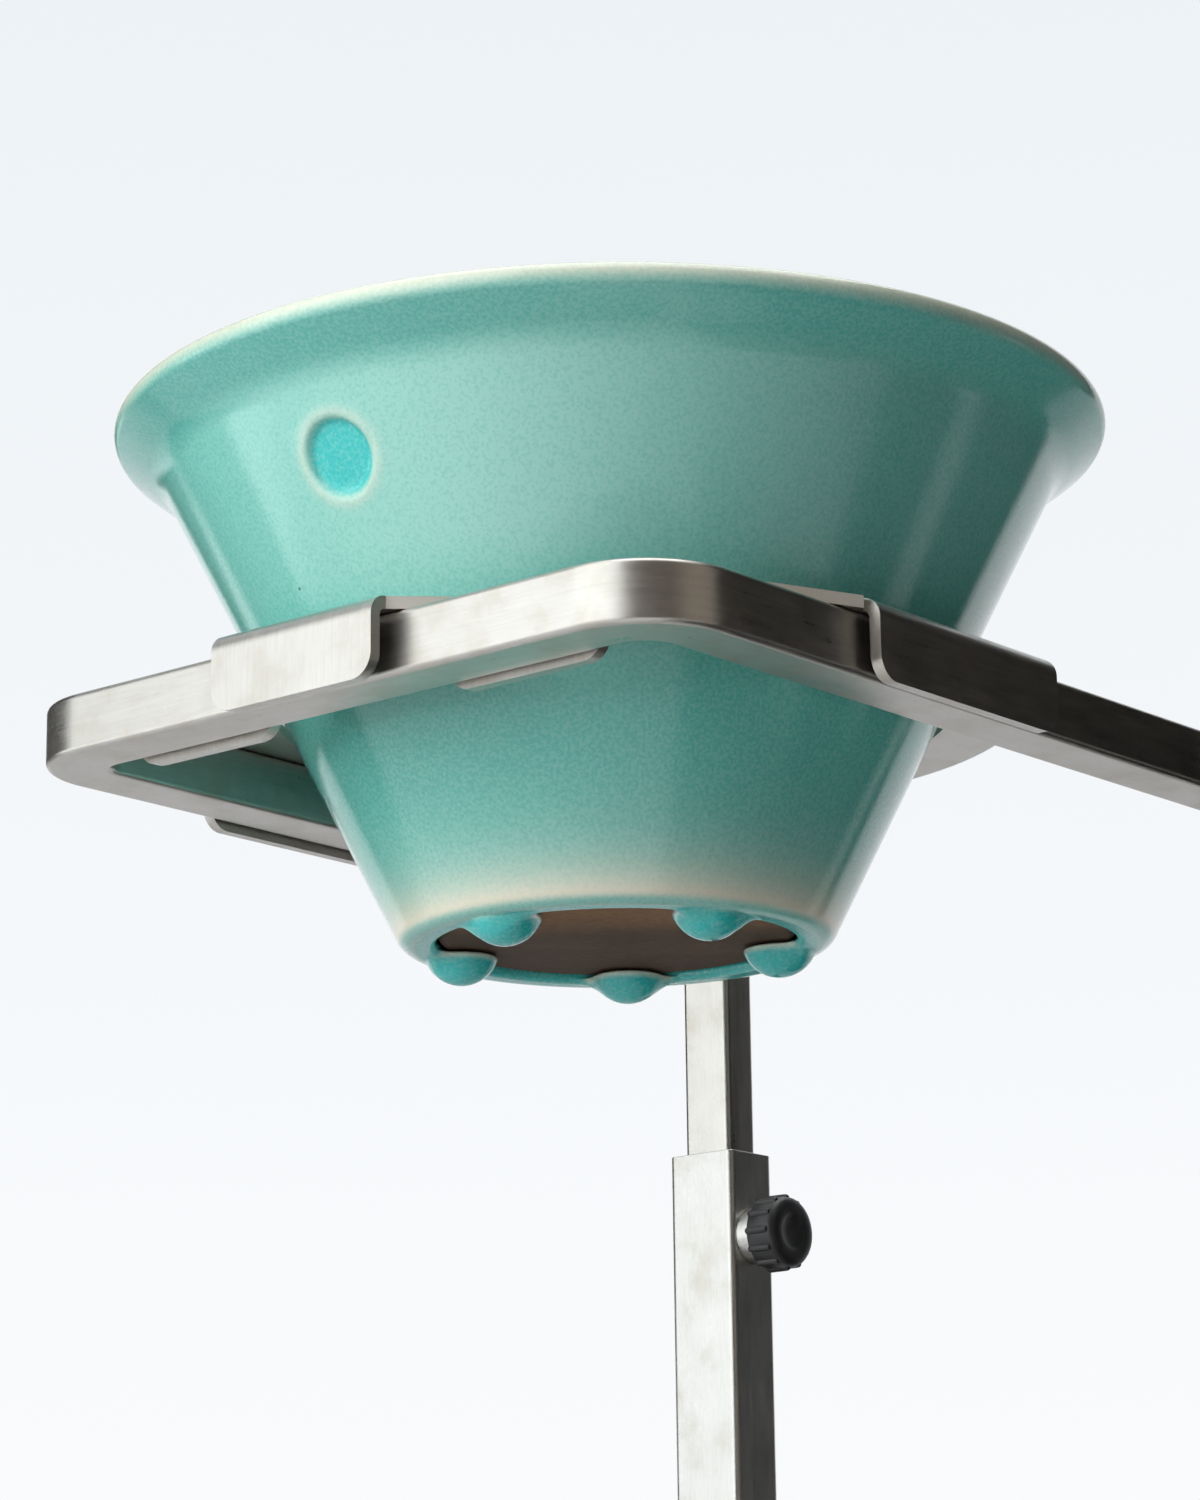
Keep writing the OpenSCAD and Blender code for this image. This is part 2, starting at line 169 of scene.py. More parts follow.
def bare_tree(owner):
    """Emptied node tree of a material or world."""
    owner.use_nodes = True
    owner.node_tree.nodes.clear()
    return owner.node_tree


def new_material(name):
    """A material with an empty tree but for the shader and its output."""
    material = bpy.data.materials.new(name)
    tree = bare_tree(material)
    shader = tree.nodes.new("ShaderNodeBsdfPrincipled")
    output = tree.nodes.new("ShaderNodeOutputMaterial")
    tree.links.new(shader.outputs["BSDF"], output.inputs["Surface"])
    return material, tree, shader


def add_node(tree, kind, inputs=None, **settings):
    """Adds a node, sets its options and links or sets its inputs."""
    node = tree.nodes.new(kind)
    for key, value in settings.items():
        setattr(node, key, value)
    for key, value in (inputs or {}).items():
        if isinstance(value, bpy.types.NodeSocket):
            tree.links.new(value, node.inputs[key])
        else:
            node.inputs[key].default_value = value
    return node


def mixed(tree, factor, first, second, blend="MIX"):
    """Colour between two colours or sockets."""
    node = add_node(tree, "ShaderNodeMix", data_type="RGBA", blend_type=blend)
    for index, value in ((0, factor), (6, first), (7, second)):
        if isinstance(value, bpy.types.NodeSocket):
            tree.links.new(value, node.inputs[index])
        elif index == 0:
            node.inputs[index].default_value = value
        else:
            node.inputs[index].default_value = (*value, 1)
    return node.outputs[2]


def ranged(tree, value, low, high, new_low, new_high, kind="LINEAR"):
    """Value mapped from one range to another and held inside it."""
    node = add_node(
        tree,
        "ShaderNodeMapRange",
        {"Value": value, "From Min": low, "From Max": high, "To Min": new_low, "To Max": new_high},
        interpolation_type=kind,
    )
    return node.outputs["Result"]


def math_node(tree, operation, first, second=0.0):
    """One arithmetic step."""
    return add_node(tree, "ShaderNodeMath", {0: first, 1: second}, operation=operation).outputs[0]


def noise_value(tree, vector, scale, detail=2.0, roughness=0.5):
    """Grey noise at a scale given per metre."""
    node = add_node(
        tree,
        "ShaderNodeTexNoise",
        {"Vector": vector, "Scale": scale, "Detail": detail, "Roughness": roughness},
    )
    return node.outputs["Fac"]


def object_place(tree):
    """Object coordinates, in metres."""
    return add_node(tree, "ShaderNodeTexCoord").outputs["Object"]


def attribute_value(tree, name):
    """A number kept on the mesh's points or faces."""
    return add_node(tree, "ShaderNodeAttribute", attribute_name=name).outputs["Fac"]


def seen_ray(tree):
    """1 on rays from the camera, a reflection or a clear surface, and 0 on rays that only carry light."""
    path = add_node(tree, "ShaderNodeLightPath")
    seen = math_node(tree, "MAXIMUM", path.outputs["Is Camera Ray"], path.outputs["Is Glossy Ray"])
    return math_node(tree, "MAXIMUM", seen, path.outputs["Is Transmission Ray"])


def dress(tree, shader, body, rough, height, depth, strength):
    """Gives a shader its colour, its roughness and a bump whose depth is in metres."""
    bump = add_node(tree, "ShaderNodeBump", {"Height": height, "Distance": depth, "Strength": strength})
    for name, socket in (("Base Color", body), ("Roughness", rough), ("Normal", bump.outputs["Normal"])):
        tree.links.new(socket, shader.inputs[name])


def glaze_material(cup):
    """Gloss glaze that pools thick in hollows and breaks thin on edges."""
    material, tree, shader = new_material("celadon_glaze")
    place = object_place(tree)
    cloud = noise_value(tree, place, 26, 3)
    mottle = noise_value(tree, place, 2200, 2, 0.55)
    grain = noise_value(tree, place, 3600, 1)
    pool = attribute_value(tree, "glaze_pool")
    thin = attribute_value(tree, "glaze_thin")
    # The pale share holds real paler glaze and, on the cup's upper front, a painted sheen of the key light.
    body = mixed(tree, attribute_value(tree, "glaze_pale_and_sheen"), cup.glaze, cup.pale)
    body = mixed(tree, pool, body, cup.pooled)
    deep = mixed(tree, 1.0, body, (0.70, 0.86, 0.86), "MULTIPLY")
    body = mixed(tree, ranged(tree, cloud, 0.45, 0.75, 0.0, 0.18), body, cup.pale)
    body = mixed(tree, ranged(tree, mottle, 0.36, 0.52, 0.62, 0.0), body, deep)
    body = mixed(tree, ranged(tree, mottle, 0.5, 0.66, 0.0, 0.25), body, cup.pale)
    ragged = math_node(tree, "MULTIPLY", thin, ranged(tree, mottle, 0.35, 0.65, 0.9, 1.06))
    body = mixed(tree, ragged, body, cup.thin)
    cells = add_node(tree, "ShaderNodeTexVoronoi", {"Vector": place, "Scale": 95.0})
    dot = ranged(tree, cells.outputs["Distance"], 0.016, 0.026, 1.0, 0.0)
    pick = add_node(tree, "ShaderNodeSeparateColor", {"Color": cells.outputs["Color"]})
    dot = math_node(tree, "MULTIPLY", dot, math_node(tree, "GREATER_THAN", pick.outputs[0], 0.86))
    body = mixed(tree, math_node(tree, "MULTIPLY", dot, 0.8), body, cup.speck)
    shader.inputs["IOR"].default_value = 1.52
    height = math_node(tree, "ADD", mottle, math_node(tree, "MULTIPLY", grain, 0.25))
    dress(tree, shader, body, ranged(tree, mottle, 0.25, 0.75, 0.04, 0.08), height, 0.04 * MM, 0.5)
    return material


def paper_material(paper):
    """Unbleached paper, darker and smoother where it is damp."""
    material, tree, shader = new_material("filter_paper")
    place = object_place(tree)
    # The damp value also holds painted light: it is lowered on the floor's camera-facing outside, which
    # paints that side in the dry colour.
    damp = attribute_value(tree, "damp")
    fibre = noise_value(tree, place, 900, 4, 0.7)
    cloud = noise_value(tree, place, 90, 3)
    dampness = math_node(tree, "ADD", damp, ranged(tree, cloud, 0.3, 0.7, -0.12, 0.12))
    body = mixed(tree, dampness, paper.dry, paper.damp)
    darker = mixed(tree, 1.0, body, (0.62, 0.56, 0.5), "MULTIPLY")
    body = mixed(tree, ranged(tree, fibre, 0.35, 0.7, 0.6, 0.0), body, darker)
    shader.inputs["Specular IOR Level"].default_value = 0.2
    rough = ranged(tree, dampness, 0.0, 1.0, 0.85, 0.7)
    dress(tree, shader, body, rough, math_node(tree, "ADD", fibre, cloud), 0.12 * MM, 0.6)
    return material


def steel_material(name, tint, roughness, line_scale=2600.0, stains=0.5, sheared=False):
    """Brushed stainless: streaks along the grain map, soft smears and small changes of tone."""
    material, tree, shader = new_material(name)
    grain = add_node(tree, "ShaderNodeUVMap", uv_map="grain").outputs["UV"]
    place = object_place(tree)

    def streaks(across, along, amount):
        scale = (across * line_scale, along * line_scale, 1)
        mapping = add_node(tree, "ShaderNodeMapping", {"Vector": grain, "Scale": scale})
        return math_node(tree, "MULTIPLY", noise_value(tree, mapping.outputs["Vector"], 1.0, 2, 0.6), amount)

    lines = math_node(tree, "ADD", streaks(1.0, 0.05, 0.6), streaks(0.28, 0.02, 0.4))
    speckle = noise_value(tree, place, 2400, 3, 0.7)
    smear = noise_value(tree, place, 150, 5, 0.6)
    light = tuple(min(1.0, 1.07 * part) for part in tint)
    dark = tuple(0.92 * part for part in tint)
    stain = (0.84 * tint[0], 0.79 * tint[1], 0.70 * tint[2])
    body = mixed(tree, ranged(tree, lines, 0.35, 0.65, 0.0, 1.0), dark, light)
    body = mixed(tree, ranged(tree, smear, 0.48, 0.68, 0.0, stains), body, stain)
    shader.inputs["Metallic"].default_value = 1.0
    lined = ranged(tree, lines, 0.3, 0.7, -0.05, 0.05)
    smeared = ranged(tree, smear, 0.3, 0.7, -0.06 * stains, 0.1 * stains)
    speckled = ranged(tree, speckle, 0.3, 0.7, roughness - 0.03, roughness + 0.03)
    rough = math_node(tree, "ADD", math_node(tree, "ADD", lined, smeared), speckled)
    if sheared:
        # Sheared edges get a paler, less metallic colour: partly the edge's own matte finish, partly a
        # painted highlight standing in for light on the edges.
        cut = attribute_value(tree, "cut_edge")
        body = mixed(tree, cut, body, (0.70, 0.67, 0.61))
        rough = math_node(tree, "ADD", rough, math_node(tree, "MULTIPLY", cut, 0.15))
        tree.links.new(ranged(tree, cut, 0.0, 1.0, 1.0, 0.6), shader.inputs["Metallic"])
    dress(tree, shader, body, rough, math_node(tree, "ADD", lines, speckle), 0.02 * MM, 0.16)
    return material


def plastic_material(grip):
    """Moulded black plastic with a fine spark texture and paler worn patches."""
    material, tree, shader = new_material("knob_plastic")
    place = object_place(tree)
    spark = noise_value(tree, place, 5200, 2)
    wear = noise_value(tree, place, 340, 3)
    worn = tuple(min(1.0, 2.4 * part) for part in grip.plastic)
    body = mixed(tree, ranged(tree, wear, 0.45, 0.75, 0.0, 0.6), grip.plastic, worn)
    dress(tree, shader, body, ranged(tree, wear, 0.3, 0.7, 0.36, 0.5), spark, 0.04 * MM, 0.5)
    return material


def rubber_material(grip):
    """Dull rubber with dust in its pores."""
    material, tree, shader = new_material("foot_rubber")
    place = object_place(tree)
    pores = noise_value(tree, place, 2600, 3)
    dust = noise_value(tree, place, 260, 4)
    dusty = tuple(min(1.0, part + 0.05) for part in grip.rubber)
    body = mixed(tree, ranged(tree, dust, 0.45, 0.8, 0.0, 0.7), grip.rubber, dusty)
    dress(tree, shader, body, ranged(tree, pores, 0.3, 0.7, 0.62, 0.85), pores, 0.06 * MM, 0.5)
    return material


def new_object(name, data):
    """Object in the scene that holds a mesh, lamp or camera."""
    made = bpy.data.objects.new(name, data)
    bpy.context.scene.collection.objects.link(made)
    return made


def new_piece(name, mesh, material, body, node):
    """Links a finished mesh as a piece that rides on a body and stands for a CAD node."""
    piece = new_object(name, mesh)
    mesh.materials.clear()
    mesh.materials.append(material)
    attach(piece, body)
    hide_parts(node)


def plain_mesh(holder):
    """Mesh of an object with its modifiers applied, after which the object is removed."""
    graph = bpy.context.evaluated_depsgraph_get()
    graph.update()
    mesh = bpy.data.meshes.new_from_object(holder.evaluated_get(graph), depsgraph=graph)
    holder.modifiers.clear()
    bpy.data.objects.remove(holder)
    return mesh


def grown(mesh, tree, values):
    """Mesh that a geometry tree makes from a mesh and its other inputs."""
    holder = new_object("work", mesh)
    grow = holder.modifiers.new("grown", "NODES")
    grow.node_group = tree
    for key, value in values.items():
        grow[key] = value
    return plain_mesh(holder)


def smooth(mesh, angle=40):
    """Smooth shading with edges sharper than an angle kept."""
    mesh.polygons.foreach_set("use_smooth", [True] * len(mesh.polygons))
    mesh.set_sharp_from_angle(angle=math.radians(angle))


def weigh_normals(holder):
    """Keeps large flat faces flat beside their rounded edges."""
    weighted = holder.modifiers.new("weighted", "WEIGHTED_NORMAL")
    weighted.keep_sharp = True
    weighted.weight = FLAT_WEIGHT


def close_ends(mesh, turn_outward=True):
    """Fills the open ends of a mesh and, where asked, turns its faces outward."""
    work = bmesh.new()
    work.from_mesh(mesh)
    bmesh.ops.holes_fill(work, edges=[edge for edge in work.edges if edge.is_boundary], sides=0)
    if turn_outward:
        bmesh.ops.recalc_face_normals(work, faces=work.faces)
    work.to_mesh(mesh)
    work.free()
    return mesh


def grid_mesh(name, points, closed_rows, closed_columns):
    """Quad mesh from an array of points[row, column, xyz]."""
    rows, columns = points.shape[:2]
    row = np.arange(rows if closed_rows else rows - 1)
    column = np.arange(columns if closed_columns else columns - 1)
    row, column = (part.ravel() for part in np.meshgrid(row, column, indexing="ij"))
    next_row = (row + 1) % rows
    next_column = (column + 1) % columns
    faces = np.stack(
        [
            row * columns + column,
            row * columns + next_column,
            next_row * columns + next_column,
            next_row * columns + column,
        ],
        axis=1,
    )
    mesh = bpy.data.meshes.new(name)
    mesh.from_pydata(points.reshape(-1, 3).tolist(), [], faces.tolist())
    mesh.update()
    return mesh


def unit_circle(turns):
    """Points (cosine, sine) at some angles."""
    return np.stack([np.cos(turns), np.sin(turns)], axis=1)


def turned_mesh(name, radius, height, turn, centre=(0, 0, 0), closed=False):
    """Mesh of rings round an upright axis, from a radius and a height for each row and angle."""
    parts = np.broadcast_arrays(radius * np.cos(turn), radius * np.sin(turn), height)
    return grid_mesh(name, np.stack(parts, axis=2) + centre, closed, True)


def store_value(mesh, name, values):
    """Keeps one number for each point of a mesh."""
    layer = mesh.attributes.new(name, "FLOAT", "POINT")
    layer.data.foreach_set("value", np.asarray(values, np.float32).ravel())


def store_grain(mesh, along):
    """Grain map in metres: across and along the brushing, chosen for each face by its normal."""
    along = np.array(along, float)
    spare = np.array([0, 0, 1.0]) if abs(along[2]) < 0.5 else np.array([0, 1.0, 0])
    count = len(mesh.loops)
    points = np.zeros(len(mesh.vertices) * 3)
    mesh.vertices.foreach_get("co", points)
    corner = np.zeros(count, np.int32)
    mesh.loops.foreach_get("vertex_index", corner)
    normals = np.zeros(len(mesh.polygons) * 3)
    mesh.polygons.foreach_get("normal", normals)
    sizes = np.zeros(len(mesh.polygons), np.int32)
    mesh.polygons.foreach_get("loop_total", sizes)
    normal = np.repeat(normals.reshape(-1, 3), sizes, axis=0)
    place = points.reshape(-1, 3)[corner]
    facing = np.abs(normal @ along) > 0.75
    direction = np.where(facing[:, None], spare, along)
    side = np.cross(normal, direction)
    side /= np.maximum(np.linalg.norm(side, axis=1, keepdims=True), 1e-9)
    pair = np.stack([(place * side).sum(1), (place * direction).sum(1)], axis=1)
    layer = mesh.uv_layers.new(name="grain")
    layer.data.foreach_set("uv", pair.astype(np.float32).ravel())


def eased_copy(node, width, steps=2, angle=32):
    """Merged copy of a CAD node with its sharp edges broken."""
    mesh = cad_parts[node].data.copy()
    mesh.materials.clear()
    work = bmesh.new()
    work.from_mesh(mesh)
    bmesh.ops.remove_doubles(work, verts=work.verts, dist=MERGE_DISTANCE)
    bmesh.ops.dissolve_limit(work, angle_limit=math.radians(0.4), verts=work.verts, edges=work.edges)
    work.to_mesh(mesh)
    work.free()
    mesh.polygons.foreach_set("use_smooth", [True] * len(mesh.polygons))
    holder = new_object("work", mesh)
    bevel = holder.modifiers.new("eased", "BEVEL")
    bevel.width = width
    bevel.segments = steps
    bevel.limit_method = "ANGLE"
    bevel.angle_limit = math.radians(angle)
    bevel.miter_outer = "MITER_ARC"
    weigh_normals(holder)
    return plain_mesh(holder)


def store_cut(mesh, thickness):
    """Marks the sheared edges of a sheet that lies flat at the top of its mesh."""
    top = max(vert.co.z for vert in mesh.vertices)
    layer = mesh.attributes.new("cut_edge", "FLOAT", "FACE")
    for face, entry in zip(mesh.polygons, layer.data):
        low = min(mesh.vertices[index].co.z for index in face.vertices)
        entry.value = float(low > top - 1.1 * thickness and abs(face.normal.z) < 0.4)


def steel_piece(name, node, body, material, along, width, sheet=0.0):
    """Eased and brushed copy of a CAD node."""
    mesh = eased_copy(node, width)
    store_grain(mesh, along)
    if sheet:
        store_cut(mesh, sheet)
    new_piece(name, mesh, material, body, node)


def touch_point(point, centre, radius, side):
    """Where a line from a point touches a circle."""
    away = point - centre
    turn = math.atan2(away[1], away[0]) + side * math.acos(radius / np.hypot(*away))
    return centre + radius * np.array([math.cos(turn), math.sin(turn)])


def arc_between(start, end, centre, steps, to_left=False):
    """Points of an arc from one point to another, the short way or always to the left."""
    first = math.atan2(*(start - centre)[::-1])
    last = math.atan2(*(end - centre)[::-1])
    sweep = (last - first + 3 * math.pi) % (2 * math.pi) - math.pi
    if to_left:
        sweep %= 2 * math.pi
    turns = first + sweep * np.linspace(0, 1, steps + 1)
    return centre + np.hypot(*(start - centre)) * unit_circle(turns)


def corner_arc(before, corner, after, radius, steps):
    """Points of an arc that rounds a corner."""
    to_before = (before - corner) / np.hypot(*(before - corner))
    to_after = (after - corner) / np.hypot(*(after - corner))
    half = math.acos(float(to_before @ to_after)) / 2
    middle = (to_before + to_after) / np.hypot(*(to_before + to_after))
    tangent = radius / math.tan(half)
    centre = corner + middle * radius / math.sin(half)
    return arc_between(corner + to_before * tangent, corner + to_after * tangent, centre, steps)


def between(start, end, step):
    """Points strictly between two points, about a step apart."""
    count = max(2, int(round(np.hypot(*(end - start)) / step)))
    share = np.linspace(0, 1, count + 1)[1:-1, None]
    return start + (end - start) * share


def eased_step(low, high, value):
    """Smooth step from 0 to 1."""
    share = np.clip((value - low) / (high - low), 0, 1)
    return share * share * (3 - 2 * share)


def soft_larger(first, second, width):
    """The larger of two values with a soft change between them."""
    share = np.clip(0.5 + 0.5 * (first - second) / width, 0, 1)
    return second + (first - second) * share + width * share * (1 - share)


def cup_profile(cup):
    """Wall section as points (radius, height), with a label for each stretch of it."""
    low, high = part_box("dripper_cup")
    rim_r = (high.x - low.x) / 2
    outlet = np.array([cup.outlet_d / 2, 0])
    base = np.array([cup.base_d / 2, 0])
    neck = np.array([cup.neck_d / 2, cup.height - cup.collar_h])
    lip = np.array([rim_r - cup.lip_r, cup.height - cup.lip_r])
    inner_neck = neck - np.array([cup.neck_wall, 0])
    flare_end = touch_point(neck, lip, cup.lip_r, 1)
    inner_end = touch_point(inner_neck, lip, cup.lip_r, -1)
    outlet_arc = corner_arc(inner_neck, outlet, base, cup.outlet_edge_r, 200)
    base_arc = corner_arc(outlet, base, neck, cup.base_edge_r, 12)
    neck_arc = corner_arc(base, neck, flare_end, cup.neck_r, 14)
    lip_arc = arc_between(flare_end, inner_end, lip, 28, True)
    inner_arc = corner_arc(inner_end, inner_neck, outlet, cup.neck_r, 8)
    core = np.array([(cup.outlet_d + cup.base_d) / 4 - 0.4 * MM, 0.58 * cup.lobe_shelf_h])
    foot = np.concatenate([outlet_arc, between(outlet_arc[-1], base_arc[0], 0.02 * MM), base_arc[:1]])
    foot_turn = np.unwrap(np.arctan2(*(foot - core).T[::-1]))
    # Angles round the foot's core, closest together at the opening's edge.
    spread = np.radians([*range(145, 170, 5), *range(170, 190), *np.arange(190, 342, 2.5)])
    inside = (spread > foot_turn[0] + 0.02) & (spread < foot_turn[-1] - 0.02)
    spread = np.concatenate([foot_turn[:1], spread[inside]])
    reach = np.interp(spread, foot_turn, np.hypot(*(foot - core).T))
    foot = core + reach[:, None] * unit_circle(spread)
    inner_low = foot[0] + (inner_arc[-1] - foot[0]) * 0.1
    slope = (neck - base) / (neck - base)[1]
    dimple_low = base + slope * (cup.dimple_h - 0.75 * cup.dimple_d)
    stretches = [
        ("bottom", foot),
        ("base_edge", base_arc),
        ("cone", between(base_arc[-1], dimple_low, 1.0 * MM)),
        ("cone", np.concatenate([[dimple_low], between(dimple_low, neck_arc[0], 0.45 * MM)])),
        ("neck", neck_arc),
        ("flare", between(neck_arc[-1], lip_arc[0], 0.7 * MM)),
        ("lip", lip_arc),
        ("inside", between(lip_arc[-1], inner_arc[0], 1.0 * MM)),
        ("inside", inner_arc),
        ("inside", between(inner_arc[-1], inner_low, 1.9 * MM)),
        ("inside", np.concatenate([[inner_low], between(inner_low, foot[0], 0.35 * MM)])),
    ]
    points = np.concatenate([part for _, part in stretches])
    labels = np.concatenate([[label] * len(part) for label, part in stretches])
    return points, labels, core


def lobed_reach(cup, core, along, reach, turn):
    """How far from the core the surface lies when a ball hangs softly joined at each lobe."""
    step = 2 * math.pi / cup.lobe_count
    offset = (turn + math.pi / 2 + step / 2) % step - step / 2
    ball_r = cup.lobe_d / 2
    ball_z = ball_r - cup.lobe_drop
    lobe_limit = 9 * MM
    near = np.zeros((len(reach), turn.shape[1]))
    far = near + reach + lobe_limit
    for _ in range(BISECTIONS):
        middle = (near + far) / 2
        radius = core[0] + along[:, 0:1] * middle
        height = core[1] + along[:, 1:2] * middle
        aside = radius * np.sin(offset)
        outward = radius * np.cos(offset) - cup.lobe_circle_d / 2
        ball = np.sqrt(outward**2 + aside**2 + (height - ball_z) ** 2) - ball_r
        ball = soft_larger(ball, height - cup.lobe_shelf_h, 0.5 * MM)
        wall = middle - reach
        fade = eased_step(0.43 * cup.base_d, 0.485 * cup.base_d, radius)
        fade = np.maximum(fade, eased_step(0.4 * MM, 1.2 * MM, height))
        blend = np.maximum(cup.lobe_blend * (1 - fade), 0.05 * MM)
        share = np.maximum(blend - np.abs(wall - ball), 0) / blend
        outside = np.minimum(wall, ball) - share**2 * blend / 4 > 0
        far = np.where(outside, middle, far)
        near = np.where(outside, near, middle)
    return np.where(reach > lobe_limit, reach, np.maximum(near, reach))


def cup_mesh(cup):
    """The cup's wall turned round its axis, with lobes, a dimple and small unevenness of hand work."""
    points, labels, core = cup_profile(cup)

    def part(*names):
        return np.isin(labels, names)[:, None]

    low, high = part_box("dripper_cup")
    # Columns are closest together across the dimple.
    close = np.radians(np.arange(-7.6, 7.6, 0.4))
    wide = np.radians(np.linspace(8, 352, 345))
    turns = np.concatenate([close, wide]) - math.pi / 2
    turn = turns[None, :]
    away = points - core
    reach = np.hypot(away[:, 0], away[:, 1])[:, None]
    along = away / reach
    full_reach = lobed_reach(cup, core, along, reach, turn)
    lobe = eased_step(0.0, 1.4 * MM, full_reach - reach)
    radius = core[0] + along[:, 0:1] * full_reach
    height = core[1] + along[:, 1:2] * full_reach

    slope = (cup.neck_d - cup.base_d) / 2 / (cup.height - cup.collar_h)
    slant = math.hypot(1, slope)
    outside = part("cone", "neck", "flare")
    side = (turn + math.pi / 2 - cup.dimple_turn) * (cup.base_d / 2 + slope * cup.dimple_h)
    spread = np.hypot(side, (height - cup.dimple_h) * slant)
    rim = cup.dimple_d / 2
    hollow = np.where(outside, 1 - eased_step(rim - 0.7 * MM, rim + 0.35 * MM, spread), 0)
    ridge = np.where(outside, np.exp(-(((spread - rim - 0.75 * MM) / (0.8 * MM)) ** 2)), 0)
    sink = cup.dimple_depth * hollow - 0.06 * MM * ridge
    radius = radius - sink / slant
    height = height + sink * slope / slant

    uneven = 0.0009 * np.sin(2 * turn + 0.6) + 0.0005 * np.sin(3 * turn + 2.1)
    radius = radius * (1 + uneven * eased_step(10 * MM, 60 * MM, height))
    height = height - 0.00012 * eased_step(40 * MM, 66 * MM, height) * (1 + np.sin(2 * turn + 1.1))

    centre_y = (low.y + high.y) / 2
    bottom_z = high.z - cup.height
    mesh = turned_mesh("glazed_cup", radius, height, turn, (0, centre_y, bottom_z), closed=True)
    smooth(mesh, 180)

    lip_thin = 0.84
    ridge_thin = 0.34
    shelf_thin = 0.75
    collar_pool = 0.12
    dimple_pool = 0.95
    inner_pool = 0.75
    drift = 0.5 * MM * (np.sin(5 * turn + 0.4) + np.sin(9 * turn + 1.7) + np.sin(16 * turn + 2.9))
    lip_share = (points[:, 1:2] - cup.height + cup.lip_r) / cup.lip_r
    thin = lip_thin * eased_step(-1.0, 0.5, lip_share + 60 * drift) * part("lip", "flare")
    foot = part("base_edge", "cone")
    foot_h = points[:, 1:2]
    band = eased_step(0.3 * MM, 1.2 * MM, foot_h) * np.exp(-np.maximum(foot_h - 1.5 * MM, 0) / (2.8 * MM))
    thin = np.maximum(thin, band * foot)
    thin = np.maximum(thin, ridge_thin * ridge * (1 - hollow))
    shelf_edge = eased_step(cup.lobe_shelf_h - 1.1 * MM, cup.lobe_shelf_h - 0.2 * MM, height)
    thin = np.maximum(thin * (1 - 0.8 * lobe), shelf_thin * shelf_edge * np.minimum(2 * lobe, 1))
    collar_h = cup.height - cup.collar_h
    collar = eased_step(collar_h - 2.0 * MM, collar_h + 2.4 * MM, height + 0.3 * drift)
    pool = collar_pool * collar * part("cone", "neck", "flare", "lip")
    pool = np.maximum(np.maximum(pool, lobe), dimple_pool * hollow)
    pool = np.maximum(pool, inner_pool * part("inside", "bottom"))
    upper = eased_step(0.45 * cup.height, 0.62 * cup.height, height) * (1 - collar) * outside
    # The upper cone is paler all round, and more so in a patch on the upper front, as in the photograph: that
    # patch is a painted sheen, the soft reflection of the key light painted into the glaze colour.
    painted_sheen_turn = math.radians(-70)
    painted_sheen_width = math.radians(34)
    from_painted_sheen = (turn - painted_sheen_turn + math.pi) % (2 * math.pi) - math.pi
    pale = upper * (0.25 + 0.65 * np.exp(-((from_painted_sheen / painted_sheen_width) ** 2)))
    pale = np.maximum(pale, 0.9 * ridge * (1 - hollow)) * (1 - hollow)
    pale = np.maximum(pale, 0.65 * np.exp(-np.maximum(foot_h - 2 * MM, 0) / (5 * MM)) * foot * (1 - lobe))
    pale = np.maximum(pale, 0.15 * collar * outside)
    for name, value in (("glaze_thin", thin), ("glaze_pool", pool), ("glaze_pale_and_sheen", pale)):
        store_value(mesh, name, np.broadcast_to(value, radius.shape))
    return mesh


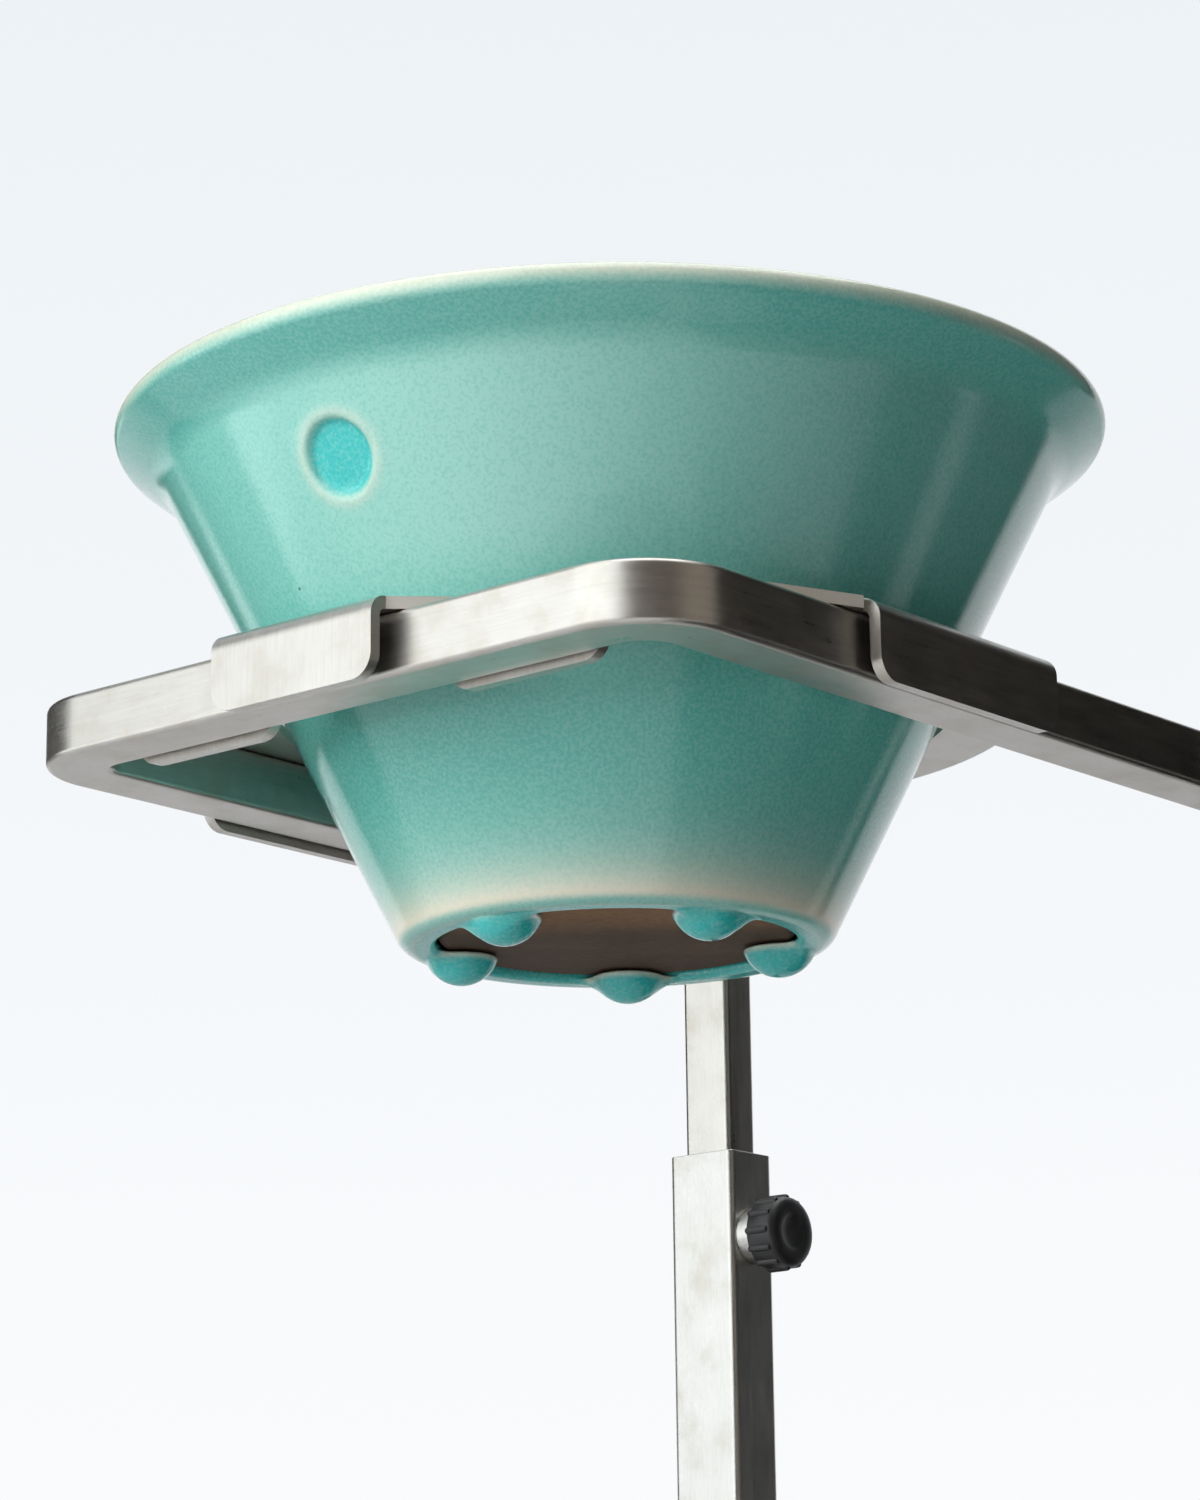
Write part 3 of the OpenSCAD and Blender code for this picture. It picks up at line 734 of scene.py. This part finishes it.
def paper_mesh(paper, cup):
    """Flat-bottomed paper cone with soft ripples and a crimped seam down its side."""
    low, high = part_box("paper_filter")
    top_r = (high.x - low.x) / 2
    tall = high.z - low.z
    wall_slope = (cup.neck_d / 2 - cup.neck_wall - cup.outlet_d / 2) / (cup.height - cup.collar_h)
    floor_r = top_r - wall_slope * tall
    slant = math.hypot(1, wall_slope)
    wall = paper.thickness * slant
    corner = np.array([floor_r, 0.0])
    top = np.array([top_r, tall])
    inner_top = np.array([top_r - wall, tall])
    inner_corner = np.array([floor_r + wall_slope * paper.thickness - wall, paper.thickness])
    outer_arc = corner_arc(np.array([0.0, 0.0]), corner, top, 1.2 * MM, 6)
    inner_arc = corner_arc(inner_top, inner_corner, np.array([0.0, paper.thickness]), 0.8 * MM, 6)
    rings = [
        np.stack([np.linspace(0.2 * MM, outer_arc[0][0], 16)[:-1], np.zeros(15)], axis=1),
        outer_arc,
        between(outer_arc[-1], top, 1.4 * MM),
        [top, (top + inner_top) / 2 + np.array([0, 0.05 * MM]), inner_top],
        between(inner_top, inner_arc[0], 1.4 * MM),
        inner_arc,
        np.stack([np.linspace(inner_arc[-1][0], 0.2 * MM, 16)[1:], np.full(15, paper.thickness)], axis=1),
    ]
    points = np.concatenate(rings)
    turn = np.linspace(0, 2 * math.pi, 361)[:-1][None, :]
    share = np.clip(points[:, 1:2] / tall, 0, 1)
    ripple = np.sin(7 * turn + 1.0 + 2.2 * share) + 0.7 * np.sin(12 * turn + 2.5 - 3.0 * share)
    ripple = ripple + 0.5 * np.sin(23 * turn + 0.4 + 5.0 * share)
    seam_turn = 2.2
    seam_place = (turn - seam_turn + math.pi) % (2 * math.pi) - math.pi
    seam_side = seam_place * np.maximum(points[:, 0:1], 5 * MM)
    on_seam = 1 - eased_step(0.42 * paper.seam_w, 0.58 * paper.seam_w, np.abs(seam_side))
    crimp = 0.5 + 0.5 * np.cos(2 * math.pi * points[:, 1:2] / (2.4 * MM))
    inward = eased_step(2 * MM, 12 * MM, points[:, 1:2])
    seam = on_seam * MM * (0.22 + 0.16 * crimp)
    radius = points[:, 0:1] - inward * (0.06 * MM * (1.6 + ripple * (0.4 + share)) + seam)
    uneven = np.sin(3 * turn + 0.7) + 0.6 * np.sin(8 * turn + 2.0)
    height = points[:, 1:2] - 0.25 * MM * share**6 * (1.6 + uneven)
    flat = points[:, 0:1] < floor_r - 1.5 * MM
    crease = 0.05 * MM * np.sin(5 * turn + points[:, 0:1] / (2.0 * MM))
    height = np.where(flat, height + np.abs(crease) * np.clip(points[:, 0:1] / floor_r, 0, 1), height)
    centre_y = (low.y + high.y) / 2
    mesh = turned_mesh("filter_paper", radius, height, turn, (0, centre_y, low.z))
    close_ends(mesh, turn_outward=False)
    smooth(mesh, 60)
    wet = 1 - eased_step(0.2, 0.95, share + 0.05 * np.sin(4 * turn) + 0.04 * np.sin(11 * turn + 1))
    # The floor's outside is paler on the side that faces the main camera, as in the photograph: painted
    # light, put in by lowering the damp value there.
    camera_x = 0.64
    camera_y = -0.77
    camera_side = (camera_x * np.cos(turn) + camera_y * np.sin(turn)) * points[:, 0:1] / floor_r
    underneath = np.arange(len(points))[:, None] < len(rings[0]) + len(rings[1])
    # Painted light: lowering the damp value here paints the camera-facing side in the dry paper's colour.
    wet = wet - 0.8 * eased_step(0.0, 0.8, camera_side) * underneath
    store_value(mesh, "damp", np.broadcast_to(wet, radius.shape))
    return mesh


def bar_section(width, height, edge, steps=5):
    """Points round a bar's section with rounded edges, and how far round each lies."""
    points = []
    for number in range(4):
        first = math.pi / 2 * number
        middle = np.array([width / 2 - edge, height / 2 - edge])
        sign = np.array([1 if number in (0, 3) else -1, 1 if number in (0, 1) else -1])
        turns = first + np.linspace(0, math.pi / 2, steps + 1)
        points.extend(middle * sign + edge * unit_circle(turns))
    points = np.array(points)
    gaps = np.hypot(*(np.roll(points, -1, axis=0) - points).T)
    return points, np.concatenate([[0], np.cumsum(gaps)])


def swept_bar(name, path, sides, up, width, height, edge, chamfer):
    """Bar swept along a path, with broken ends and a grain map that follows it."""
    section, around = bar_section(width, height, edge)
    sides = np.broadcast_to(sides, path.shape)
    steps = np.linalg.norm(np.diff(path, axis=0), axis=1)
    run = np.concatenate([[0], np.cumsum(steps)])
    shrink = np.ones(len(path))
    shrink[[0, -1]] = 1 - 2 * chamfer / width
    rows = path[:, None, :] + shrink[:, None, None] * (
        section[None, :, 0:1] * sides[:, None, :] + section[None, :, 1:2] * np.array(up)
    )
    mesh = grid_mesh(name, rows, False, True)
    columns = len(section)
    work = bmesh.new()
    work.from_mesh(mesh)
    layer = work.loops.layers.uv.new("grain")
    for face in work.faces:
        wraps = max(loop.vert.index % columns for loop in face.loops) == columns - 1
        wraps = wraps and min(loop.vert.index % columns for loop in face.loops) == 0
        for loop in face.loops:
            row, column = divmod(loop.vert.index, columns)
            lap = around[columns] if wraps and column == 0 else around[column]
            loop[layer].uv = (lap, run[row])
    work.verts.ensure_lookup_table()
    for first, order in ((0, 1), ((len(path) - 1) * columns, -1)):
        ring = [work.verts[first + index] for index in range(columns)][::order]
        cap = work.faces.new(ring)
        for loop in cap.loops:
            offset = loop.vert.co - Vector(path[0 if first == 0 else -1])
            loop[layer].uv = (offset.length * 0.7, offset.z)
    bmesh.ops.recalc_face_normals(work, faces=work.faces)
    work.to_mesh(mesh)
    work.free()
    smooth(mesh, 50)
    holder = new_object("work", mesh)
    weigh_normals(holder)
    return plain_mesh(holder)


def frame_path(low, high, bar_w, bend_r):
    """Middle line of the U-shaped bar with its sideways direction, from the left arm's end to the right's."""
    half = (high.x - low.x - bar_w) / 2
    turn_r = bend_r - bar_w / 2
    front = low.y + bar_w / 2
    bend_y = front + turn_r
    end_gap = 0.5 * MM
    points = []
    sides = []

    def straight(start, end, side, count):
        for share in np.linspace(0, 1, count + 1):
            points.append(start + np.subtract(end, start) * share)
            sides.append(side)

    def bend(centre_x, turns):
        for way in unit_circle(turns):
            points.append((centre_x, bend_y) + turn_r * way)
            sides.append(way)

    straight((-half, high.y), (-half, high.y - end_gap), (-1, 0), 1)
    straight((-half, high.y - 2 * end_gap), (-half, bend_y), (-1, 0), 12)
    bend(turn_r - half, np.radians(np.linspace(180, 270, 25))[1:])
    straight((turn_r - half + MM, front), (half - turn_r - MM, front), (0, -1), 10)
    bend(half - turn_r, np.radians(np.linspace(270, 360, 25)))
    straight((half, bend_y + MM), (half, high.y - 2 * end_gap), (1, 0), 12)
    straight((half, high.y - end_gap), (half, high.y), (1, 0), 1)
    path = np.column_stack([points, np.full(len(points), (low.z + high.z) / 2)])
    return path, np.column_stack([sides, np.zeros(len(sides))])


def lathed(profile, steps):
    """Closed solid turned round +Z from points (radius, height) that start and end on the axis."""
    turn = np.linspace(0, 2 * math.pi, steps + 1)[:-1]
    inner = np.array(profile[1:-1])
    return close_ends(turned_mesh("turned", inner[:, 0:1], inner[:, 1:2], turn))


def new_tree(name, inputs):
    """Geometry tree with named inputs, its input node and the inputs' identifiers."""
    tree = bpy.data.node_groups.new(name, "GeometryNodeTree")
    tree.is_modifier = True
    keys = {
        label: tree.interface.new_socket(name=label, in_out="INPUT", socket_type=kind).identifier
        for label, kind in inputs.items()
    }
    tree.interface.new_socket(name="Geometry", in_out="OUTPUT", socket_type="NodeSocketGeometry")
    return tree, tree.nodes.new("NodeGroupInput"), keys


def finish_tree(tree, geometry, material):
    """Ends a geometry tree with real instances, their material and the output."""
    real = add_node(tree, "GeometryNodeRealizeInstances", {"Geometry": geometry})
    inputs = {"Geometry": real.outputs["Geometry"], "Material": material}
    dressed = add_node(tree, "GeometryNodeSetMaterial", inputs)
    add_node(tree, "NodeGroupOutput", {"Geometry": dressed.outputs["Geometry"]})


def shape_of(tree, socket):
    """Geometry of an object that is an input of a tree."""
    info = add_node(tree, "GeometryNodeObjectInfo", {"Object": socket}, transform_space="ORIGINAL")
    return info.outputs["Geometry"]


def ridge_tree(material):
    """Geometry tree that stands ridges in a ring round a core and joins them to it."""
    inputs = {
        "Core": "NodeSocketGeometry",
        "Ridge": "NodeSocketObject",
        "Ridges": "NodeSocketInt",
        "Ring radius": "NodeSocketFloat",
    }
    tree, start, keys = new_tree("grip_ridges", inputs)
    circle = {"Vertices": start.outputs["Ridges"], "Radius": start.outputs["Ring radius"]}
    ring = add_node(tree, "GeometryNodeMeshCircle", circle)
    shape = shape_of(tree, start.outputs["Ridge"])
    place = add_node(tree, "GeometryNodeInputPosition").outputs["Position"]
    face = add_node(tree, "FunctionNodeAlignRotationToVector", {"Vector": place}, axis="X", pivot_axis="Z")
    stand = add_node(
        tree,
        "GeometryNodeInstanceOnPoints",
        {"Points": ring.outputs["Mesh"], "Instance": shape, "Rotation": face.outputs["Rotation"]},
    )
    joined = tree.nodes.new("GeometryNodeJoinGeometry")
    tree.links.new(start.outputs["Core"], joined.inputs["Geometry"])
    tree.links.new(stand.outputs["Instances"], joined.inputs["Geometry"])
    finish_tree(tree, joined.outputs["Geometry"], material)
    return tree, keys


def point_tree(material):
    """Geometry tree that sets one screw on each point of a mesh."""
    inputs = {"Points": "NodeSocketGeometry", "Screw": "NodeSocketObject"}
    tree, start, keys = new_tree("screws_on_points", inputs)
    inputs = {"Points": start.outputs["Points"], "Instance": shape_of(tree, start.outputs["Screw"])}
    stand = add_node(tree, "GeometryNodeInstanceOnPoints", inputs)
    finish_tree(tree, stand.outputs["Instances"], material)
    return tree, keys


def ridge_mesh(long, width, depth):
    """One grip ridge: a rounded bar along +Z with softened ends, its back sunk in the knob."""
    columns = 9
    turn = np.linspace(0, math.pi, columns)
    levels = np.array([0, 0.02, 0.08, 0.2, 0.5, 0.8, 0.92, 0.98, 1.0])
    swell = np.array([0.55, 0.82, 0.97, 1, 1, 1, 0.97, 0.82, 0.55])
    rows = np.stack(
        [
            depth * (-0.8 + 1.8 * swell[:, None] * np.sin(turn)[None, :]),
            -0.5 * width * swell[:, None] * np.cos(turn)[None, :],
            np.repeat(long * levels[:, None], columns, axis=1),
        ],
        axis=2,
    )
    return close_ends(grid_mesh("ridge", rows, False, True))


class DRIPPER_OT_cup(bpy.types.Operator):
    """Makes the glazed cup with its lobed outlet"""

    bl_idname = "dripper.cup"
    bl_label = "Glazed cup"

    def execute(self, context):
        cup = context.scene.dripper_cup
        new_piece("glazed_cup", cup_mesh(cup), glaze_material(cup), "cup", "dripper_cup")
        return {"FINISHED"}


class DRIPPER_OT_paper(bpy.types.Operator):
    """Makes the filter paper inside the cup"""

    bl_idname = "dripper.paper"
    bl_label = "Filter paper"

    def execute(self, context):
        paper = context.scene.dripper_paper
        mesh = paper_mesh(paper, context.scene.dripper_cup)
        new_piece("folded_paper", mesh, paper_material(paper), "filter", "paper_filter")
        return {"FINISHED"}


class DRIPPER_OT_ring(bpy.types.Operator):
    """Makes the bent sheet ring that carries the cup"""

    bl_idname = "dripper.ring"
    bl_label = "Adapter ring"

    def execute(self, context):
        steel = context.scene.dripper_steel
        material = steel_material("ring_steel", steel.sheet, 0.34, sheared=True)
        steel_piece(
            "bent_sheet_ring", "adapter_ring", "ring", material,
            (0, 1, 0), steel.eased, steel.sheet_t,
        )
        return {"FINISHED"}


class DRIPPER_OT_frame(bpy.types.Operator):
    """Makes the U-shaped bar and the two legs under its ends"""

    bl_idname = "dripper.frame"
    bl_label = "Frame and legs"

    def execute(self, context):
        steel = context.scene.dripper_steel
        material = steel_material("bar_steel", steel.bar, 0.33)
        low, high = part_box("u_frame")
        leg_low, leg_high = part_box("left_leg")
        bar_w = leg_high.x - leg_low.x
        edge = steel.bar_edge_r
        path, sides = frame_path(low, high, bar_w, steel.bend_r)
        mesh = swept_bar("bent_bar", path, sides, (0, 0, 1), bar_w, high.z - low.z, edge, 0.35 * MM)
        new_piece("bent_bar", mesh, material, "carriage", "u_frame")
        for side in ("left", "right"):
            low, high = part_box(f"{side}_leg")
            middle = (low + high) / 2
            thick = high.y - low.y
            inner = np.linspace(low.z + MM, high.z - MM, 9)
            levels = [low.z, low.z + 0.5 * MM, *inner, high.z - 0.2 * MM, high.z]
            path = np.array([(middle.x, middle.y, level) for level in levels])
            mesh = swept_bar(f"{side}_bar", path, (1, 0, 0), (0, 1, 0), bar_w, thick, edge, 0.2 * MM)
            new_piece(f"{side}_leg_bar", mesh, material, "carriage", f"{side}_leg")
        return {"FINISHED"}


class DRIPPER_OT_sleeves(bpy.types.Operator):
    """Makes the sleeves with their plugs and clamp bosses"""

    bl_idname = "dripper.sleeves"
    bl_label = "Sleeves"

    def execute(self, context):
        steel = context.scene.dripper_steel
        tube = steel_material("tube_steel", steel.tube, 0.34)
        plug = steel_material("plug_steel", steel.bar, 0.34)
        pieces = (
            ("sleeve_tube", "sleeve", "tube_steel", tube),
            ("boss", "clamp_boss", "tube_steel", tube),
            ("plug", "sleeve_plug", "bar_steel", plug),
        )
        for side in ("left", "right"):
            for name, node, slot, material in pieces:
                node = f"{side}_{node}"
                steel_piece(f"{side}_{name}", node, "base", material, (0, 0, 1), steel.eased)
        return {"FINISHED"}


class DRIPPER_OT_thumbscrews(bpy.types.Operator):
    """Makes the ridged knobs and their studs"""

    bl_idname = "dripper.thumbscrews"
    bl_label = "Thumbscrews"

    def execute(self, context):
        grip = context.scene.dripper_grip
        steel = context.scene.dripper_steel
        stud = steel_material("stud_steel", steel.screw, 0.26)
        plastic = plastic_material(grip)
        tree, keys = ridge_tree(plastic)
        for side, sign in (("left", 1), ("right", -1)):
            body = f"{side}_thumbscrew"
            steel_piece(f"{side}_stud", f"{body}_stud", body, stud, (0, 1, 0), steel.eased)
            low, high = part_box(f"{body}_knob")
            middle = (low + high) / 2
            long = high.x - low.x
            outer = (high.y - low.y) / 2
            core = outer - grip.ridge_h
            pitch = 2 * math.pi * outer / grip.ridges
            profile = [
                (0, 0), (core - 0.35 * MM, 0), (core - 0.1 * MM, 0.1 * MM), (core, 0.35 * MM),
                (core, long - 1.0 * MM), (core - 0.15 * MM, long - 0.6 * MM),
                (core - 0.5 * MM, long - 0.2 * MM), (core - 1.0 * MM, long - 0.05 * MM),
                (core - 1.4 * MM, long), (0.55 * core, long), (0.5 * core, long - 0.08 * MM),
                (0.42 * core, long - 0.3 * MM), (0.2 * core, long - 0.34 * MM),
                (0.05 * core, long - 0.34 * MM), (0, long - 0.34 * MM),
            ]
            ridge = new_object("ridge", ridge_mesh(long - 0.9 * MM, 0.42 * pitch, grip.ridge_h))
            values = {keys["Ridge"]: ridge, keys["Ridges"]: grip.ridges, keys["Ring radius"]: core}
            mesh = grown(lathed(profile, 96), tree, values)
            bpy.data.objects.remove(ridge)
            inner_x = low.x if sign > 0 else high.x
            turned = Matrix.Rotation(sign * math.pi / 2, 4, "Y")
            mesh.transform(Matrix.Translation((inner_x, middle.y, middle.z)) @ turned)
            smooth(mesh, 42)
            new_piece(f"{side}_grip", mesh, plastic, body, f"{body}_knob")
        return {"FINISHED"}


class DRIPPER_OT_base(bpy.types.Operator):
    """Makes the base plate and its rubber feet"""

    bl_idname = "dripper.base"
    bl_label = "Base plate and feet"

    def execute(self, context):
        steel = context.scene.dripper_steel
        rubber = rubber_material(context.scene.dripper_grip)
        plate = steel_material("plate_steel", steel.plate, 0.47, 1500.0, 0.12)
        steel_piece("brushed_plate", "base_plate", "base", plate, (0, 1, 0), steel.plate_eased)
        for place in ("front_left", "front_right", "rear_left", "rear_right"):
            mesh = eased_copy(f"{place}_foot", 0.4 * MM, 3)
            new_piece(f"{place}_pad", mesh, rubber, "base", f"{place}_foot")
        return {"FINISHED"}


class DRIPPER_OT_screws(bpy.types.Operator):
    """Makes the screws under the base, one set for the feet and one for the sleeves"""

    bl_idname = "dripper.screws"
    bl_label = "Screws"

    def execute(self, context):
        steel = context.scene.dripper_steel
        material = steel_material("screw_steel", steel.screw, 0.25)
        tree, keys = point_tree(material)
        for node in ("foot_screws", "sleeve_screws"):
            whole = eased_copy(node, 0.12 * MM)
            work = bmesh.new()
            work.from_mesh(whole)
            places, shape = self.split(work)
            work.free()
            bpy.data.meshes.remove(whole)
            screw = new_object("screw", shape)
            points = bpy.data.meshes.new("screw_points")
            points.from_pydata(places, [], [])
            mesh = grown(points, tree, {keys["Screw"]: screw})
            bpy.data.objects.remove(screw)
            smooth(mesh, 35)
            store_grain(mesh, (0, 0, 1))
            new_piece(f"{node}_set", mesh, material, "base", node)
        return {"FINISHED"}

    def split(self, work):
        """Middles of all screws in a mesh, and one of them as a mesh round its own middle."""
        left = set(work.verts)
        groups = []
        while left:
            group = {left.pop()}
            edge = list(group)
            while edge:
                for link in edge.pop().link_edges:
                    for vert in link.verts:
                        if vert in left:
                            left.remove(vert)
                            group.add(vert)
                            edge.append(vert)
            groups.append(group)
        places = []
        for group in groups:
            span = [[vert.co[axis] for vert in group] for axis in range(3)]
            places.append(tuple((min(part) + max(part)) / 2 for part in span))
        keep = groups[0]
        bmesh.ops.delete(work, geom=[vert for vert in work.verts if vert not in keep], context="VERTS")
        bmesh.ops.translate(work, verts=work.verts, vec=-Vector(places[0]))
        shape = bpy.data.meshes.new("screw")
        work.to_mesh(shape)
        return places, shape


class DRIPPER_OT_stage(bpy.types.Operator):
    """Makes the floor, lamps, background and camera"""

    bl_idname = "dripper.stage"
    bl_label = "Stage"

    def execute(self, context):
        settings = context.scene.dripper_stage
        context.scene.view_settings.view_transform = "Standard"
        self.camera(context.scene, settings)
        self.floor(settings)
        self.world(context.scene, settings)
        target = Vector((0, CUP_AXIS_Y, 0.17))
        self.lamp("key", Vector((-0.22, -1.07, 0.42)), target, 0.7, 1.4, settings.key_power)
        self.lamp("top", Vector((0.05, 0.1, 1.5)), target, 1.4, 1.4, settings.top_power)
        self.card("softbox_card", -139, -70, 1.2, 2.0, (1.98, 2.06, 2.06), low=0.1)
        self.card("low_softbox_card", -157, -70, 0.5, 0.17, (1.80, 1.88, 1.89), low=0.06)
        self.card("shade_card", -70, -12, 0.5, 0.7, (0.11, 0.095, 0.08))
        self.card("room_card", -12, 21, 0.45, 0.6, (0.30, 0.26, 0.21))
        self.card("back_card", 20, 60, 0.35, 0.8, (0.03, 0.03, 0.03))
        self.card("gap_card", 42, 51, 0.325, 0.13, (0.55, 0.57, 0.57), low=0.07)
        self.card("near_dark_card", 22, 42, 0.33, 0.8, (0.002, 0.002, 0.002))
        self.card("far_dark_card", 50, 81, 0.33, 0.8, (0.002, 0.002, 0.002))
        self.card("dark_apron", -25, 100, 0.33, 0.0015, (0.03, 0.03, 0.03), near=0.1)
        self.card("corner_card", 174, 205, 0.5, 0.6, (0.02, 0.02, 0.02))
        self.card("wall_card", 152, 218, 1.6, 1.8, (0.03, 0.03, 0.03), low=0.27)
        return {"FINISHED"}

    def camera(self, scene, settings):
        """Camera where the photograph was taken from."""
        data = bpy.data.cameras.new("camera")
        data.lens = settings.lens
        data.sensor_width = 36
        data.clip_start = 0.01
        camera = new_object("camera", data)
        upward = Vector(CAMERA_UP)
        back = Vector(CAMERA_RIGHT).cross(upward).normalized()
        right = upward.cross(back).normalized()
        turn = Matrix((right, upward, back)).transposed().to_4x4()
        camera.matrix_world = Matrix.Translation(CAMERA_PLACE) @ turn
        scene.camera = camera

    def floor(self, settings):
        """Large floor that fades into the background and is clear from below."""
        mesh = bpy.data.meshes.new("floor")
        corners = [(x * FLOOR_HALF, y * FLOOR_HALF, 0) for x, y in ((-1, -1), (1, -1), (1, 1), (-1, 1))]
        mesh.from_pydata(corners, [], [(0, 1, 2, 3)])
        floor = new_object("floor", mesh)
        material, tree, shader = new_material("floor_paper")
        seen = seen_ray(tree)
        bounce_tint = (0.52, 0.52, 0.525)
        tint = mixed(tree, seen, bounce_tint, settings.floor)
        tree.links.new(tint, shader.inputs["Base Color"])
        shader.inputs["Roughness"].default_value = 0.9
        shader.inputs["Specular IOR Level"].default_value = 0.1
        away = add_node(tree, "ShaderNodeVectorMath", {0: object_place(tree)}, operation="LENGTH")
        away = away.outputs["Value"]
        far = math_node(tree, "MULTIPLY", seen, ranged(tree, away, 0.38, 1.2, 0.0, 1.0, "SMOOTHSTEP"))
        glow = ranged(tree, away, 1.2, 6.0, 0.94, 1.0)
        sweep = add_node(tree, "ShaderNodeEmission", {"Color": (*settings.background, 1), "Strength": glow})
        both = add_node(tree, "ShaderNodeMixShader", {0: far, 1: shader.outputs[0], 2: sweep.outputs[0]})
        under = add_node(tree, "ShaderNodeNewGeometry").outputs["Backfacing"]
        clear = add_node(tree, "ShaderNodeBsdfTransparent")
        sided = add_node(tree, "ShaderNodeMixShader", {0: under, 1: both.outputs[0], 2: clear.outputs[0]})
        tree.links.new(sided.outputs[0], tree.nodes["Material Output"].inputs["Surface"])
        mesh.materials.append(material)

    def world(self, scene, settings):
        """Even fill light, and a brighter background where it is seen."""
        scene.world = bpy.data.worlds.new("studio")
        tree = bare_tree(scene.world)
        even = add_node(tree, "ShaderNodeBackground", {"Color": (1, 1, 1, 1), "Strength": settings.fill})
        aim = add_node(tree, "ShaderNodeTexCoord").outputs["Generated"]
        rise = add_node(tree, "ShaderNodeSeparateXYZ", {"Vector": aim}).outputs["Z"]
        higher = ranged(tree, rise, 0.08, 0.42, 0.0, 1.0)
        sky = mixed(tree, higher, settings.background, settings.background_top)
        pale = add_node(tree, "ShaderNodeBackground", {"Color": sky, "Strength": 1.0})
        inputs = {0: seen_ray(tree), 1: even.outputs[0], 2: pale.outputs[0]}
        both = add_node(tree, "ShaderNodeMixShader", inputs)
        add_node(tree, "ShaderNodeOutputWorld", {"Surface": both.outputs[0]})

    def lamp(self, name, place, target, width, tall, watts):
        """Rectangular lamp aimed at a point, hidden from the camera and, for the key, from reflections."""
        data = bpy.data.lights.new(name, "AREA")
        data.shape = "RECTANGLE"
        data.size = width
        data.size_y = tall
        data.energy = watts
        lamp = new_object(name, data)
        lamp.location = place
        lamp.rotation_euler = (target - place).to_track_quat("-Z", "Y").to_euler()
        lamp.visible_camera = False
        lamp.visible_glossy = name != "key"

    def card(self, name, first, last, far, tall, glow, low=0.001, near=None):
        """A curved card, upright or flat from a near radius, that only polished surfaces show."""
        way = unit_circle(np.radians(np.linspace(first, last, CARD_COLUMNS)))
        rows = [
            np.column_stack([reach * way + (0, CUP_AXIS_Y), np.full(CARD_COLUMNS, level)])
            for reach, level in ((near or far, low), (far, tall))
        ]
        mesh = grid_mesh(name, np.stack(rows), False, False)
        card = new_object(name, mesh)
        material = bpy.data.materials.new(name)
        tree = bare_tree(material)
        light = add_node(tree, "ShaderNodeEmission", {"Color": (*glow, 1), "Strength": 1.0})
        add_node(tree, "ShaderNodeOutputMaterial", {"Surface": light.outputs[0]})
        mesh.materials.append(material)
        for ray in ("camera", "diffuse", "transmission", "shadow"):
            setattr(card, f"visible_{ray}", False)


class DRIPPER_PT_sidebar(bpy.types.Panel):
    """Lists the dripper's pieces"""

    bl_label = "Dripper"
    bl_idname = "DRIPPER_PT_sidebar"
    bl_space_type = "VIEW_3D"
    bl_region_type = "UI"
    bl_category = "Dripper"

    def draw(self, context):
        for operator in OPERATORS:
            self.layout.operator(operator.bl_idname)


SETTINGS = (
    ("dripper_cup", CupSettings),
    ("dripper_paper", PaperSettings),
    ("dripper_steel", SteelSettings),
    ("dripper_grip", GripSettings),
    ("dripper_stage", StageSettings),
)
OPERATORS = (
    DRIPPER_OT_stage,
    DRIPPER_OT_cup,
    DRIPPER_OT_paper,
    DRIPPER_OT_ring,
    DRIPPER_OT_frame,
    DRIPPER_OT_sleeves,
    DRIPPER_OT_thumbscrews,
    DRIPPER_OT_base,
    DRIPPER_OT_screws,
)


def register():
    """Registers the settings, operators and panel."""
    for name, group in SETTINGS:
        bpy.utils.register_class(group)
        setattr(bpy.types.Scene, name, PointerProperty(type=group))
    for entry in (*OPERATORS, DRIPPER_PT_sidebar):
        bpy.utils.register_class(entry)


def unregister():
    """Takes the panel, operators and settings away again."""
    for entry in reversed((*OPERATORS, DRIPPER_PT_sidebar)):
        bpy.utils.unregister_class(entry)
    for name, group in reversed(SETTINGS):
        delattr(bpy.types.Scene, name)
        bpy.utils.unregister_class(group)


def main():
    """Makes every piece and the stage."""
    register()
    bpy.ops.dripper.stage()
    bpy.ops.dripper.cup()
    bpy.ops.dripper.paper()
    bpy.ops.dripper.ring()
    bpy.ops.dripper.frame()
    bpy.ops.dripper.sleeves()
    bpy.ops.dripper.thumbscrews()
    bpy.ops.dripper.base()
    bpy.ops.dripper.screws()


if __name__ == "__main__":
    main()
